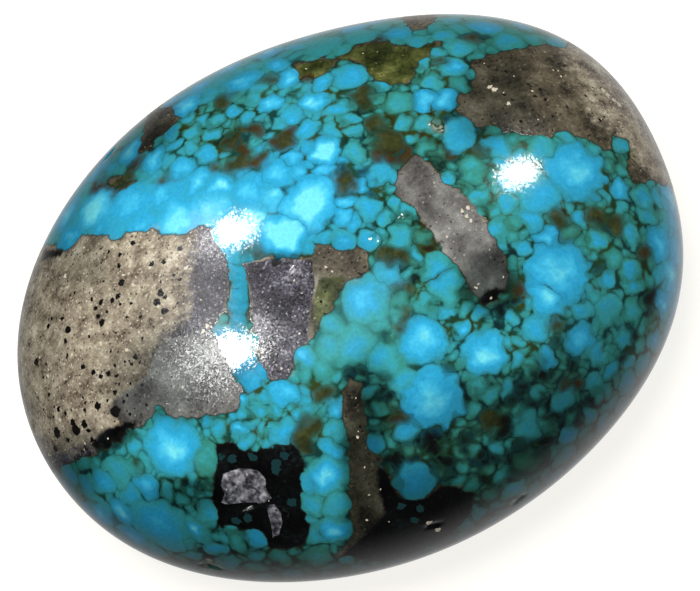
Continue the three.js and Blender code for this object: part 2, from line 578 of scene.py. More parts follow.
NODULES = (
    Nodule("great bright", 309, 204, 29, Tone.BRIGHT, 0.6),
    Nodule("square glow", 325, 151, 14, Tone.BRIGHT, 0.6),
    # Painted halo of the first highlight: this cell's core is made brighter.
    Nodule("under the first highlight", 283, 234, 24, Tone.BRIGHT, 0.8),
    Nodule("left of the great bright", 275, 173, 17, Tone.SKY),
    Nodule("upper bright left", 250, 190, 18, Tone.SKY),
    Nodule("band dot right", 220, 186, 16, Tone.SKY, 0.5),
    Nodule("band dot left", 130, 203, 22, Tone.SKY, 0.2),
    Nodule("band end", 196, 182, 14, Tone.SKY, 0.4),
    # Painted halo of the first highlight: a bright cell beside it.
    Nodule("bright by the first highlight", 212, 208, 17, Tone.BRIGHT, 0.1),
    Nodule("upper glow", 313, 101, 14, Tone.SKY, 0.5),
    Nodule("upper pale", 337, 110, 12, Tone.BLUE, 0.3),
    Nodule("top blue", 351, 76, 18, Tone.BLUE),
    Nodule("top cyan left", 424, 101, 15, Tone.SKY, 0.3),
    Nodule("top cyan right", 440, 100, 15, Tone.SKY, 0.3),
    Nodule("top green", 398, 103, 15, Tone.TEAL),
    Nodule("top small teal", 433, 80, 11, Tone.SEA),
    Nodule("top bright", 454, 66, 15, Tone.BLUE, 0.5),
    Nodule("top rim blue", 459, 47, 13, Tone.SEA),
    Nodule("top green right", 459, 85, 10, Tone.TEAL),
    Nodule("by the ringed pit", 459, 134, 19, Tone.BLUE, 0.15),
    Nodule("left of the ringed pit", 423, 124, 11, Tone.SEA),
    Nodule("under the ringed pit", 440, 152, 9, Tone.GREEN),
    Nodule("green by the pit", 427, 148, 10, Tone.TEAL),
    Nodule("round olive", 388, 141, 14, Tone.OLIVE, 0.0),
    Nodule("square blue", 383, 172, 15, Tone.BLUE, 0.1),
    Nodule("right of the glow", 355, 150, 12, Tone.SEA),
    Nodule("below the square blue", 368, 208, 14, Tone.BLUE),
    Nodule("middle right pair left", 403, 238, 14, Tone.SEA),
    Nodule("middle right pair right", 424, 238, 10, Tone.GREEN),
    Nodule("middle teal upper", 438, 270, 18, Tone.SEA, 0.4),
    Nodule("middle teal lower", 444, 284, 19, Tone.SEA, 0.4),
    Nodule("middle left blue", 388, 276, 15, Tone.BLUE, 0.1),
    Nodule("middle great blue", 366, 299, 24, Tone.BLUE, 0.5),
    Nodule("middle great teal", 354, 345, 21, Tone.SEA, 0.4),
    Nodule("middle small teal", 332, 347, 13, Tone.SEA),
    Nodule("middle right teal", 383, 357, 17, Tone.SEA, 0.4),
    Nodule("light square", 304, 358, 12, Tone.BLUE, 0.5),
    Nodule("right glow", 425, 340, 22, Tone.SKY, 0.4),
    Nodule("great blue", 432, 399, 31, Tone.SKY, 0.4),
    Nodule("left of the great blue", 400, 381, 15, Tone.SEA),
    Nodule("under the great blue", 407, 429, 12, Tone.BLUE),
    Nodule("right pale core", 483, 353, 22, Tone.SKY, 0.5),
    Nodule("square low", 283, 392, 13, Tone.SKY, 0.2),
    Nodule("by the grey patch", 252, 378, 12, Tone.SKY, 0.2),
    Nodule("sliver foot", 242, 360, 16, Tone.SKY, 0.1),
    Nodule("sliver foot right", 256, 372, 13, Tone.SKY, 0.1),
    Nodule("small cells' largest", 283, 432, 12, Tone.BLUE, 0.3),
    Nodule("left great core", 172, 448, 28, Tone.SKY, 0.5),
    Nodule("left of the core", 118, 470, 17, Tone.SEA, 0.2),
    Nodule("low left dark", 160, 525, 30, Tone.BLUE, 0.45),
    Nodule("low left glow", 196, 530, 15, Tone.BLUE, 0.75),
    Nodule("low left small", 236, 543, 11, Tone.TEAL),
    Nodule("low left teal", 208, 460, 13, Tone.TEAL),
    Nodule("seam top left", 336, 431, 11, Tone.SEA),
    Nodule("seam low left", 330, 450, 11, Tone.BLUE),
    Nodule("low stack first", 328, 477, 21, Tone.BLUE, 0.8),
    Nodule("low stack first side", 311, 482, 12, Tone.BLUE, 0.2),
    Nodule("low stack second left", 313, 504, 12, Tone.SEA),
    Nodule("low stack second right", 338, 507, 12, Tone.SEA),
    Nodule("low stack third", 334, 531, 19, Tone.BLUE, 0.7),
    Nodule("low stack third side", 318, 536, 12, Tone.SEA, 0.3),
    Nodule("bottom teal left", 282, 558, 13, Tone.TEAL),
    Nodule("bottom teal right", 316, 558, 15, Tone.TEAL),
    Nodule("low right of the seam", 414, 481, 20, Tone.BLUE, 0.3),
    Nodule("low right of the seam side", 400, 484, 10, Tone.SEA, 0.1),
    Nodule("low right green", 407, 452, 9, Tone.GREEN),
    Nodule("far low right first", 526, 428, 16, Tone.SEA, 0.2),
    Nodule("far low right second", 562, 398, 13, Tone.SEA, 0.2),
    Nodule("far low right third", 594, 382, 12, Tone.SEA, 0.2),
    Nodule("low right small blue", 498, 447, 9, Tone.SEA),
    Nodule("low right dark", 527, 462, 20, Tone.MOSS),
    Nodule("low right edge green", 492, 492, 9, Tone.GREEN),
    Nodule("right great", 577, 172, 31, Tone.SKY, 0.42),
    Nodule("right tall upper", 644, 196, 13, Tone.SEA, 0.4),
    Nodule("right tall lower", 646, 214, 13, Tone.SEA, 0.4),
    Nodule("far right glow upper", 630, 270, 12, Tone.SEA, 0.5),
    Nodule("far right glow lower", 633, 286, 12, Tone.SEA, 0.5),
    Nodule("far right low", 607, 312, 16, Tone.SEA, 0.2),
    Nodule("right middle great", 559, 272, 32, Tone.SKY, 0.38),
    Nodule("right middle great low", 548, 293, 22, Tone.SKY, 0.4),
    Nodule("right middle low", 536, 327, 14, Tone.BLUE, 0.3),
    Nodule("right blue oval", 532, 219, 11, Tone.BLUE),
    Nodule("right blue pale", 546, 238, 12, Tone.SKY),
    Nodule("right green in olive", 568, 231, 9, Tone.GREEN),
    Nodule("right pale small", 597, 238, 12, Tone.SEA, 0.6),
    Nodule("right dark teal", 611, 259, 12, Tone.TEAL),
    Nodule("by the third highlight", 471, 168, 14, Tone.TEAL),
    Nodule("under the third highlight", 540, 195, 22, Tone.BLUE),
    Nodule("left of the top right rock", 497, 145, 14, Tone.BLUE),
    Nodule("under the top right rock", 540, 150, 15, Tone.SEA),
    Nodule("top rim left", 320, 45, 20, Tone.SEA, 0.0),
    Nodule("top rim middle", 360, 36, 16, Tone.SEA, 0.0),
)

GROUPS = (
    Group("blue sliver between the left rocks", Tone.BLUE, 9.5,
          ((234, 256), (236, 266), (237, 276), (239, 286), (240, 296), (240, 306), (238, 316),
           (237, 326), (238, 336), (240, 346))),
    Group("beads in the black pocket", Tone.BEAD, 4.4,
          ((219, 457), (232, 459), (253, 457), (276, 463), (276, 470), (292, 503), (284, 455),
           (236, 521), (248, 518))),
    Group("beads in the low band", Tone.BEAD, 4,
          ((383, 465), (397, 468), (420, 508), (414, 520), (401, 506))),
    Group("olive spots", Tone.OLIVE, 10.5,
          ((342, 180), (397, 257), (321, 394), (597, 217), (616, 224), (560, 220), (388, 253),
           (373, 124), (361, 96), (122, 181), (224, 102), (232, 140), (286, 140), (236, 163),
           (300, 436), (312, 425), (489, 418), (402, 418))),
    Group("small olive spots", Tone.OLIVE, 7,
          ((404, 288), (407, 313), (398, 327), (267, 80), (165, 178), (351, 184), (480, 151),
           (558, 324), (440, 60), (306, 447), (497, 421), (365, 103), (257, 250),
           (110, 189), (245, 130), (215, 168), (262, 160), (311, 222), (392, 290))),
    Group("trail of the upper left rock", Tone.UMBER, 4.5,
          ((139, 158), (134, 165), (129, 171), (104, 186), (97, 189))),
    Group("brown spots of the upper left", Tone.UMBER, 8,
          ((228, 139), (243, 147), (288, 131), (273, 143), (254, 160))),
    Group("umber spots", Tone.UMBER, 8,
          ((404, 155), (378, 158), (449, 152), (516, 289), (96, 182), (257, 129), (472, 39),
           (380, 41), (393, 156), (642, 254), (396, 420), (566, 386), (580, 386), (308, 79))),
    Group("black spots", Tone.BLACK, 6.6,
          ((428, 440), (437, 450), (447, 460), (418, 461), (404, 460), (392, 459), (506, 428),
           (507, 420), (555, 413), (545, 440), (651, 298), (634, 332), (622, 358), (573, 364),
           (558, 342), (543, 370), (380, 340), (656, 293), (436, 433))),
    Group("small black spots", Tone.BLACK, 4.2,
          ((341, 169), (362, 171), (373, 192), (346, 374), (361, 369), (383, 374), (449, 367),
           (340, 311), (323, 337), (392, 380), (381, 394), (466, 442), (529, 405), (541, 402),
           (513, 401), (519, 392), (525, 384), (479, 458), (492, 460), (508, 462), (294, 97),
           (566, 412), (577, 409), (589, 405), (522, 448), (510, 455), (533, 443), (597, 269),
           (516, 302), (290, 254), (234, 311), (308, 446), (447, 118), (412, 414), (601, 222))),
)

SPECKS = (
    Group("largest specks", Tone.BLACK, 5.5,
          ((122, 437), (115, 412), (275, 262), (76, 430), (57, 433), (113, 442))),
    Group("large specks", Tone.BLACK, 3.8,
          ((121, 283), (68, 330), (102, 322), (98, 406), (84, 424), (161, 293), (157, 303),
           (55, 448), (130, 431), (99, 448), (36, 362), (164, 312), (73, 423))),
    Group("middle specks", Tone.BLACK, 2.6,
          ((120, 254), (119, 265), (164, 262), (151, 264), (65, 341), (108, 374), (93, 372),
           (115, 393), (58, 409), (65, 413), (95, 309), (98, 316), (118, 296), (112, 300),
           (62, 318), (48, 326), (180, 248), (165, 297), (83, 366), (101, 376), (133, 243),
           (135, 357), (101, 302), (88, 430), (68, 440), (92, 440))),
    Group("small specks", Tone.BLACK, 1.7,
          ((109, 253), (101, 249), (104, 281), (120, 304), (131, 304), (75, 292), (160, 282),
           (89, 336), (142, 338), (116, 333), (127, 317), (141, 317), (111, 351), (67, 357),
           (92, 299), (107, 312), (116, 376), (115, 366), (125, 362), (131, 364), (142, 384),
           (130, 384), (119, 384), (128, 396), (123, 402), (108, 401), (130, 414), (147, 405),
           (72, 410), (85, 410), (85, 403), (83, 397), (49, 395), (38, 398), (43, 378),
           (46, 364), (54, 418), (95, 441), (52, 318), (180, 280), (178, 302), (174, 275),
           (505, 95), (513, 100), (535, 96), (545, 99), (567, 107), (506, 72), (489, 67),
           (540, 90), (528, 84), (552, 116), (520, 122), (600, 120), (586, 96), (622, 116))),
    Group("pale chip at the bottom", Tone.PALE_AND_GLINT, 4.2,
          ((203, 564), (210, 561))),
    # Painted glints: pale dots where the rim's chips catch the lamps.
    Group("painted glints on the chips at the rim", Tone.PALE_AND_GLINT, 3.0,
          ((429, 523), (437, 530), (514, 503))),
    # Painted glints: pale dots on chips of the top right rock, which catch the lamps.
    Group("painted glints on the top right rock", Tone.PALE_AND_GLINT, 2.8,
          ((490, 87), (495, 90), (603, 90), (608, 95), (614, 100), (619, 104))),
    # Painted glints on the rod's crystals and in the ringed pit.
    Group("painted glints on the rod and the ringed pit", Tone.PALE_AND_GLINT, 1.7,
          ((462, 211), (466, 216), (469, 208), (470, 221), (437, 124), (437, 130))),
    # Grains of the rock, except two on the top right rock, which are painted glints.
    Group("pale grains and painted glints", Tone.PALE_AND_GLINT, 1.8,
          ((65, 276), (92, 290), (130, 266), (127, 350), (158, 306), (72, 355), (48, 376),
           (101, 343), (139, 332), (150, 268), (186, 268), (112, 247), (60, 420), (101, 427),
           (177, 265), (123, 275), (133, 285), (491, 88), (509, 104), (207, 326), (203, 332))),
)

PATCHES = (
    Patch("left host rock", Rock.GREY, (
        (-70, 236), (45, 247), (68, 246), (81, 236), (97, 235), (116, 238), (128, 235),
        (139, 230), (165, 230), (188, 229), (203, 225), (216, 236), (226, 255), (229, 272),
        (227, 284), (225, 307), (218, 317), (214, 332), (220, 352), (228, 372), (241, 389),
        (241, 402), (230, 411), (215, 413), (190, 417), (173, 416), (158, 405), (153, 414),
        (142, 424), (127, 428), (124, 442), (102, 449), (90, 456), (76, 459), (64, 468),
        (30, 476), (-70, 490))),
    Patch("tan of the left rock", Rock.TAN, (
        (-70, 220), (60, 238), (190, 220), (199, 240), (190, 262), (189, 296), (186, 312),
        (176, 328), (164, 340), (152, 354), (150, 378), (151, 400), (142, 428), (112, 436),
        (98, 442), (70, 450), (30, 458), (-70, 480)), tint=True),
    Patch("silvery foot of the left rock", Rock.ROD, (
        (157, 350), (170, 338), (196, 334), (214, 340), (224, 354), (232, 372), (248, 392),
        (248, 408), (228, 418), (190, 424), (150, 436), (126, 424), (108, 413), (114, 399),
        (133, 388), (148, 374)), tint=True),
    Patch("violet wedge", Rock.BLACK, (
        (44, 249), (68, 248), (60, 256), (40, 262)), tint=True),
    Patch("dark foot of the left rock", Rock.BLACK, (
        (90, 444), (104, 430), (120, 424), (137, 420), (134, 434), (120, 446), (98, 452)),
        tint=True),
    Patch("grey middle rock", Rock.GREY, (
        (243, 263), (253, 262), (272, 259), (312, 260), (315, 287), (308, 319), (308, 344),
        (303, 346), (296, 351), (293, 358), (293, 372), (287, 378), (272, 379), (266, 376),
        (259, 367), (263, 357), (259, 342), (253, 328), (253, 298), (247, 276))),
    Patch("brown middle rock", Rock.UMBER, (
        (314, 246), (322, 244), (337, 247), (362, 249), (367, 256), (365, 270), (358, 277),
        (346, 280), (337, 288), (335, 297), (331, 307), (322, 319), (316, 329), (309, 345),
        (306, 330), (313, 290))),
    Patch("olive tip of the brown middle rock", Rock.OLIVE, (
        (320, 278), (344, 276), (338, 296), (324, 320), (314, 330), (314, 296)), tint=True),
    Patch("top right rock", Rock.UMBER, (
        (473, 60), (496, 54), (522, 49), (549, 46), (560, 49), (585, 30), (760, 130),
        (750, 200), (668, 186), (652, 181), (635, 181), (626, 168), (634, 155), (628, 140),
        (612, 134), (607, 152), (591, 140), (583, 137), (566, 132), (546, 136), (527, 133),
        (513, 130), (487, 126), (478, 126), (458, 112), (457, 96), (472, 92), (475, 76))),
    Patch("yellow lens of the top right rock", Rock.OLIVE, (
        (618, 134), (630, 140), (636, 156), (630, 164), (622, 150)), tint=True),
    Patch("pale edge of the top right rock", Rock.TAN, (
        (560, 40), (580, 20), (780, 130), (750, 210), (668, 190), (646, 172), (620, 140),
        (596, 120), (578, 88)), tint=True),
    Patch("dark tip of the rod", Rock.BLACK, (
        (476, 302), (486, 290), (496, 287), (514, 292), (500, 312), (478, 308)), tint=True),
    Patch("grey rod", Rock.ROD, (
        (403, 168), (409, 158), (420, 156), (432, 167), (449, 184), (466, 196), (480, 215),
        (495, 235), (506, 262), (507, 282), (497, 300), (484, 304), (473, 291), (462, 270),
        (444, 255), (433, 233), (416, 210), (398, 196), (394, 184))),
    Patch("long seam", Rock.UMBER, (
        (350, 382), (359, 384), (363, 407), (365, 430), (370, 446), (380, 456), (386, 470),
        (394, 484), (404, 498), (424, 500), (440, 486), (456, 488), (474, 494), (470, 512),
        (452, 534), (420, 551), (380, 562), (334, 555), (350, 543), (353, 517),
        (350, 488), (349, 466), (350, 446), (345, 430), (343, 402), (344, 390))),
    Patch("black of the low band", Rock.BLACK, (
        (376, 458), (386, 470), (398, 496), (424, 498), (442, 484), (480, 490),
        (480, 512), (440, 550), (385, 570), (340, 570), (346, 550), (372, 530), (384, 512),
        (378, 486)), tint=True),
    Patch("black pocket", Rock.BLACK, (
        (215, 447), (231, 444), (238, 451), (256, 452), (266, 448), (278, 446), (292, 445),
        (303, 462), (301, 476), (301, 489), (300, 503), (306, 517), (312, 534), (294, 549),
        (270, 548), (262, 534), (240, 528), (222, 527), (215, 513), (212, 500), (216, 480))),
    Patch("large silver chip", Rock.SILVER, (
        (223, 474), (240, 468), (257, 470), (265, 478), (266, 488), (272, 498), (263, 503),
        (248, 502), (229, 504), (221, 503), (225, 494), (221, 486))),
    Patch("small silver chip", Rock.SILVER, (
        (267, 505), (275, 504), (281, 514), (282, 523), (279, 535), (273, 538), (272, 528),
        (269, 517))),
    Patch("top olive rock", Rock.OLIVE, (
        (335, 58), (355, 48), (375, 41), (389, 41), (393, 47), (419, 46), (441, 41),
        (431, 52), (423, 60), (414, 68), (413, 77), (403, 84), (389, 86), (378, 82),
        (370, 75), (364, 64), (355, 60))),
    Patch("top olive arm", Rock.OLIVE, (
        (296, 66), (316, 60), (336, 59), (330, 70), (312, 81), (298, 80))),
    Patch("top edge rock", Rock.UMBER, (
        (406, 0), (436, 0), (436, 18), (428, 28), (412, 29), (403, 22))),
    Patch("upper left rock", Rock.UMBER, (
        (150, 112), (162, 105), (176, 109), (179, 118), (168, 130), (156, 139), (147, 149),
        (140, 154), (137, 148), (143, 137), (146, 124))),
    Patch("low end of the upper left rock", Rock.UMBER, (
        (109, 182), (121, 177), (133, 179), (131, 186), (119, 190), (110, 188))),
)

BLOBS = (
    Blob("grey patch under the stone", Rock.GREY, 4.5, -3.0, 0.0, 2.9),
    Blob("tan patch under the stone", Rock.TAN, 3.6, -2.0, 0.0, 1.9),
    Blob("dark patch under the left end", Rock.UMBER, -5.5, 4.0, 0.3, 2.2),
    Blob("back flank rock", Rock.GREY, 3.5, 9.4, 2.6, 1.5),
    Blob("back flank olive", Rock.OLIVE, -3.0, 9.6, 2.2, 1.0),
    Blob("right end rock", Rock.TAN, 11.6, 2.4, 2.6, 1.3),
)

# A zone's deep value darkens the stone: partly its deeper colour, partly painted shade at the
# rims and towards the lower right, where the light falls off.
ZONES = (
    Zone("blue band", 135, 212, 100, 34, 34, 0.80, 0.0, 0.0, 5),
    # Painted halo of the first highlight: the cells round it are paler and the web faint.
    Zone("by the first highlight", 240, 205, 40, 30, 24, 0.90, 0.05, 0.0, 4),
    Zone("left end of the band", 74, 214, 32, 40, 30, 0.66, 0.1, 0.72, 9),
    Zone("upper left", 190, 155, 70, 26, 20, 0.66, 0.28, 0.08, 2),
    Zone("upper left olive cells", 218, 128, 46, 26, 12, 0.47, 0.85, 0.14, 3),
    Zone("upper left edge", 118, 150, 30, 40, 22, 0.55, 0.2, 0.82, 4),
    Zone("upper left rock", 158, 124, 18, 26, 18, 0.5, 0.3, 0.9, 8),
    Zone("upper left rim", 190, 85, 60, 24, 28, 0.62, 0.05, 0.42, 3),
    Zone("top edge", 330, 38, 120, 18, 26, 0.57, 0.15, 0.43, 2),
    Zone("upper middle left", 285, 108, 50, 30, 20, 0.64, 0.32, 0.0, 1.5),
    Zone("brightest", 300, 195, 60, 45, 26, 0.88, 0.34, 0.0, 3),
    Zone("upper middle", 400, 115, 50, 45, 14, 0.46, 0.7, 0.16, 1.4),
    Zone("top right of the middle", 450, 65, 30, 30, 16, 0.54, 0.4, 0.09),
    Zone("top right edge", 520, 30, 70, 16, 24, 0.46, 0.2, 0.43, 1.5),
    Zone("dark left of the top right rock", 486, 92, 28, 36, 14, 0.4, 0.6, 0.72, 4),
    Zone("brown middle rock", 338, 266, 24, 22, 14, 0.45, 0.4, 0.38, 8),
    Zone("pale edge of the top right rock", 625, 105, 45, 50, 16, 0.4, 0.5, 0.18, 3),
    Zone("middle", 355, 320, 50, 60, 20, 0.57, 0.15, 0.0, 2),
    Zone("right of the middle", 425, 225, 45, 60, 11, 0.44, 0.8, 0.12, 1.5),
    Zone("dark low end of the rod", 489, 286, 18, 20, 12, 0.3, 0.8, 0.96, 50),
    Zone("by the third highlight", 515, 185, 45, 40, 15, 0.48, 0.35, 0.0),
    Zone("right", 595, 235, 60, 60, 16, 0.50, 0.5, 0.24, 1.3),
    Zone("right edge", 648, 280, 20, 80, 20, 0.38, 0.55, 0.42, 2),
    # Painted reflection: the right rim is made paler, where the polish mirrors the room.
    Zone("right rim", 678, 245, 20, 80, 26, 0.74, 0.1, 0.0, 9),
    Zone("right middle", 500, 320, 50, 50, 12, 0.57, 0.5, 0.0, 2),
    Zone("right low blue", 600, 350, 40, 45, 22, 0.60, 0.35, 0.55, 1.8),
    # Painted shade: the lower right zones are darkened, as the light falls off there.
    Zone("lower right", 570, 410, 70, 50, 17, 0.42, 0.6, 0.88, 3),
    Zone("lower right edge", 600, 450, 80, 40, 20, 0.42, 0.6, 0.95, 3),
    Zone("moss", 485, 435, 50, 35, 12, 0.30, 0.8, 0.60, 3),
    Zone("small cells", 262, 408, 55, 24, 9.5, 0.56, 0.38, 0.0, 6),
    Zone("lower left", 120, 485, 60, 34, 19, 0.60, 0.3, 0.36, 2),
    Zone("dark between the low left cells", 186, 494, 32, 11, 12, 0.36, 1.0, 0.95, 10),
    Zone("lower left low", 150, 520, 60, 30, 24, 0.64, 0.2, 0.70, 2.5),
    Zone("lower left edge", 70, 480, 23, 25, 20, 0.45, 0.4, 1.0, 12),
    Zone("shadow at the foot of the left rock", 72, 448, 30, 12, 16, 0.4, 0.5, 0.7, 5),
    Zone("bottom", 300, 530, 80, 40, 16, 0.46, 0.8, 0.65, 1.5),
    Zone("bottom edge", 300, 570, 180, 18, 18, 0.36, 0.7, 0.95, 3),
    Zone("black band", 420, 520, 70, 40, 16, 0.3, 1.0, 0.95, 4),
    Zone("second silver chip", 272, 521, 10, 18, 16, 0.3, 0.6, 0.5, 12),
    Zone("left of the seam", 325, 425, 30, 45, 14, 0.48, 0.5, 0.15),
    Zone("low stack", 328, 505, 24, 44, 19, 0.62, 0.3, 0.1, 5),
    Zone("around the left core", 172, 448, 34, 30, 18, 0.6, 0.25, 0.0, 5),
    Zone("seam", 364, 480, 17, 80, 13, 0.4, 0.9, 1.0, 25),
    Zone("right of the seam", 395, 440, 26, 30, 12, 0.34, 0.85, 0.43, 1.5),
    Zone("left rim", 26, 340, 22, 90, 17, 0.5, 0.5, 0.43, 3),
    Zone("silvery foot of the left rock", 184, 385, 42, 32, 14, 0.5, 0.5, 0.74, 8),
)


@dataclass
class Chart:
    """The photograph's picture carried on past the stone's outline to its hidden side.

    A hidden place is charted as far outside the outline as it would lie inside it.
    """

    view: PhotoView
    middle: tuple[float, float] = (351.0, 298.0)
    bins: int = 360
    reach: np.ndarray = field(default_factory=lambda: np.ones(1))

    def polar(self, points: np.ndarray) -> tuple[np.ndarray, np.ndarray, np.ndarray]:
        """See points from the middle of the picture.

        Args:
            points: Places in metres, one a row.

        Returns:
            Their pixels from the middle, the distance, and the direction in bins.
        """
        away = self.view.pixels(points) - np.array(self.middle)
        turn = np.arctan2(away[:, 1], away[:, 0]) / (2 * math.pi) * self.bins
        return away, np.hypot(away[:, 0], away[:, 1]), turn

    def fit(self, points: np.ndarray) -> None:
        """Measure the outline, as the farthest pixel in each direction from the middle.

        Args:
            points: Places all over the stone, in metres.
        """
        _, out, turn = self.polar(points)
        self.reach = np.zeros(self.bins)
        np.maximum.at(self.reach, turn.astype(int) % self.bins, out)

    def places(self, points: np.ndarray, normals: np.ndarray) -> np.ndarray:
        """Chart points of the surface.

        Args:
            points: Places in metres, one a row.
            normals: Which way the surface faces there.

        Returns:
            Pixel coordinates, outside the outline for hidden places.
        """
        away, out, turn = self.polar(points)
        out = np.maximum(out, 1e-6)
        ring = np.append(self.reach, self.reach[0])
        edge = np.interp(turn % self.bins, np.arange(self.bins + 1), ring)
        hidden = np.einsum("ij,ij->i", normals, self.view.eye() - points) < 0
        share = np.where(hidden, 2 - np.minimum(out / edge, 1), out / edge)
        return np.array(self.middle) + away * (share * edge / out)[:, None]


def inside_by(places: np.ndarray, outline: tuple[tuple[float, float], ...]) -> np.ndarray:
    """Give how far places lie inside an outline, negative outside.

    Args:
        places: Pixel coordinates, one pair a row.
        outline: The corners, closed by themselves.

    Returns:
        Distances in pixels.
    """
    nearest = np.full(len(places), np.inf)
    inside = np.zeros(len(places), bool)
    corners = np.array(outline, float)
    for start, end in zip(corners, np.roll(corners, -1, axis=0)):
        side = end - start
        along = np.clip((places - start) @ side / (side @ side), 0, 1)
        away = places - start - along[:, None] * side
        nearest = np.minimum(nearest, np.hypot(away[:, 0], away[:, 1]))
        spans = (start[1] > places[:, 1]) != (end[1] > places[:, 1])
        rise = side[1] if side[1] else 1e-9
        inside ^= spans & (places[:, 0] < start[0] + (places[:, 1] - start[1]) * side[0] / rise)
    return np.where(inside, nearest, -nearest)


@dataclass(frozen=True)
class Round:
    """One filling of the surface: cell sizes as shares of the usual one, and its throws."""

    low: float
    high: float
    throws: int


@dataclass
class Pattern:
    """The stone's cells and rock patches, laid on its surface as mesh attributes."""

    view: PhotoView
    chart: Chart
    # Depths in rock are kept up to this, in mm.
    far: float = 1.6
    # How far past the black rock's outline its colour runs, in mm.
    black_spread: float = 0.5
    # Cell size in pixels, tone, web and deep where no zone reaches, and the pull of that.
    usual: tuple[float, float, float, float] = (17.0, 0.48, 0.5, 0.15)
    usual_pull: float = 0.05
    zone_fall: float = 1.6
    # Cells are thrown on the surface in rounds, and may overlap by a share of their radius.
    rounds: tuple[Round, ...] = (
        Round(0.55, 0.72, 7000), Round(0.34, 0.55, 16000),
        Round(0.20, 0.34, 26000), Round(0.12, 0.20, 22000),
    )
    overlap: float = 0.90
    size_spread: tuple[float, float] = (0.8, 1.1)
    rock_gap: float = 0.3
    tone_spread: float = 0.07
    tone_by_size: float = 0.5
    middle_rank: float = 0.42
    tone_limits: tuple[float, float] = (0.02, 0.97)
    web_shrink: float = 0.04
    core_glow: float = 0.5
    # Specks of other minerals in the rock: their radius and least depth in mm, and spacing.
    speck_throws: int = 5200
    speck_size: tuple[float, float] = (0.016, 0.045)
    speck_depth: float = 0.08
    speck_spacing: float = 1.5
    dark_specks: float = 0.72
    # Cells up to this radius in mm are found by a search of so many nearest centres.
    large: float = 0.3
    searched: int = 9
    centres: list[np.ndarray] = field(default_factory=list)
    forms: list[tuple[float, float, float]] = field(default_factory=list)

    @property
    def pixel(self) -> float:
        """The size of a pixel on the stone, in mm."""
        return self.view.distance / self.view.pixels_per_slope / MM

    def lay_out(self, piece: bpy.types.Object) -> None:
        """Work out the pattern and store it on the mesh.

        Args:
            piece: The stone.
        """
        mesh = piece.data
        points = self.read(mesh.vertices, "co")
        self.chart.fit(points)
        charted = self.chart.places(points, self.read(mesh.vertex_normals, "vector"))
        rocks = self.rock_depths(points, charted)
        zones = self.zone_values(charted)
        host = self.host_depth(points, charted)
        self.store(mesh, "host", "POINT", np.stack([host, zones[:, 2], zones[:, 3]], 1))
        self.store(mesh, "rock_a", "POINT", rocks[:, 0:3])
        self.store(mesh, "rock_b", "POINT", rocks[:, 3:6])
        self.place_named(piece)
        faces = self.read(mesh.polygons, "center")
        area = np.empty(len(mesh.polygons))
        mesh.polygons.foreach_get("area", area)
        charted = self.chart.places(faces, self.read(mesh.polygons, "normal"))
        self.fill(faces, charted, area)
        self.share_out(mesh, faces / MM)
        log.info("pattern: %d cells", len(self.centres))

    def read(self, rows: bpy.types.bpy_prop_collection, name: str) -> np.ndarray:
        """Read a property of three numbers from each point or face of a mesh.

        Args:
            rows: The mesh's points, faces or normals.
            name: The property.

        Returns:
            Its three numbers, one row for each.
        """
        values = np.empty(len(rows) * 3)
        rows.foreach_get(name, values)
        return values.reshape(-1, 3)

    def store(self, mesh: bpy.types.Mesh, name: str, domain: str, values: np.ndarray) -> None:
        """Store three numbers for each point or face of a mesh."""
        layer = mesh.attributes.new(name, "FLOAT_VECTOR", domain)
        layer.data.foreach_set("vector", values.astype(np.float32).ravel())

    def rock_depths(self, points: np.ndarray, charted: np.ndarray) -> np.ndarray:
        """Give how deep each point lies in each kind of rock but umber.

        Args:
            points: Places in metres.
            charted: Where they lie in the picture.

        Returns:
            Depths in mm, a column for each kind in the order of their values.
        """
        depths = np.full((len(points), len(Rock) - 1), -self.far)
        for shape in PATCHES + BLOBS:
            if shape.rock is Rock.UMBER:
                continue
            depth = shape.depth(points, charted, self.pixel)
            if shape.rock is Rock.BLACK and not shape.tint:
                depth += self.black_spread
            column = shape.rock.value
            depths[:, column] = np.maximum(depths[:, column], depth)
        return np.clip(depths, -self.far, self.far)

    def host_depth(self, points: np.ndarray, charted: np.ndarray) -> np.ndarray:
        """Give how deep each point lies in rock of any kind.

        Args:
            points: Places in metres.
            charted: Where they lie in the picture.

        Returns:
            Depths in mm.
        """
        depth = np.full(len(points), -self.far)
        for shape in PATCHES + BLOBS:
            if not shape.tint:
                depth = np.maximum(depth, shape.depth(points, charted, self.pixel))
        return np.clip(depth, -self.far, self.far)

    def zone_values(self, charted: np.ndarray) -> np.ndarray:
        """Blend what the zones say at each place.

        Args:
            charted: Pixel coordinates, one pair a row.

        Returns:
            Cell size in pixels, tone, web and deep, one row for each place.
        """
        total = np.full(len(charted), self.usual_pull)
        mixed = np.outer(total, np.array(self.usual))
        for zone in ZONES:
            x = (charted[:, 0] - zone.x) / zone.reach_x
            y = (charted[:, 1] - zone.y) / zone.reach_y
            weight = zone.pull * np.exp(-self.zone_fall * (x * x + y * y))
            total += weight
            mixed += np.outer(weight, np.array([zone.cell, zone.tone, zone.web, zone.deep]))
        return mixed / total[:, None]

    def add_cell(self, centre: np.ndarray, radius: float, tone: float, glow: float) -> None:
        """Add a cell, its centre and radius in mm."""
        self.centres.append(centre)
        self.forms.append((radius, tone / TONE_SPAN, glow))

    def place_named(self, piece: bpy.types.Object) -> None:
        """Put the nodules, spots and specks of the photograph on the surface under them.

        Args:
            piece: The stone.
        """
        eye = Vector(self.view.eye())
        marks = [(n.x, n.y, n.radius, n.tone.value, n.glow) for n in NODULES]
        for group in GROUPS + SPECKS:
            marks += [(x, y, group.radius, group.tone.value, group.glow)
                      for x, y in group.places]
        for x, y, radius, tone, glow in marks:
            hit, place, _, _ = piece.ray_cast(eye, Vector(self.view.ray(x, y)))
            if hit:
                self.add_cell(np.array(place) / MM, radius * self.pixel, tone, glow)

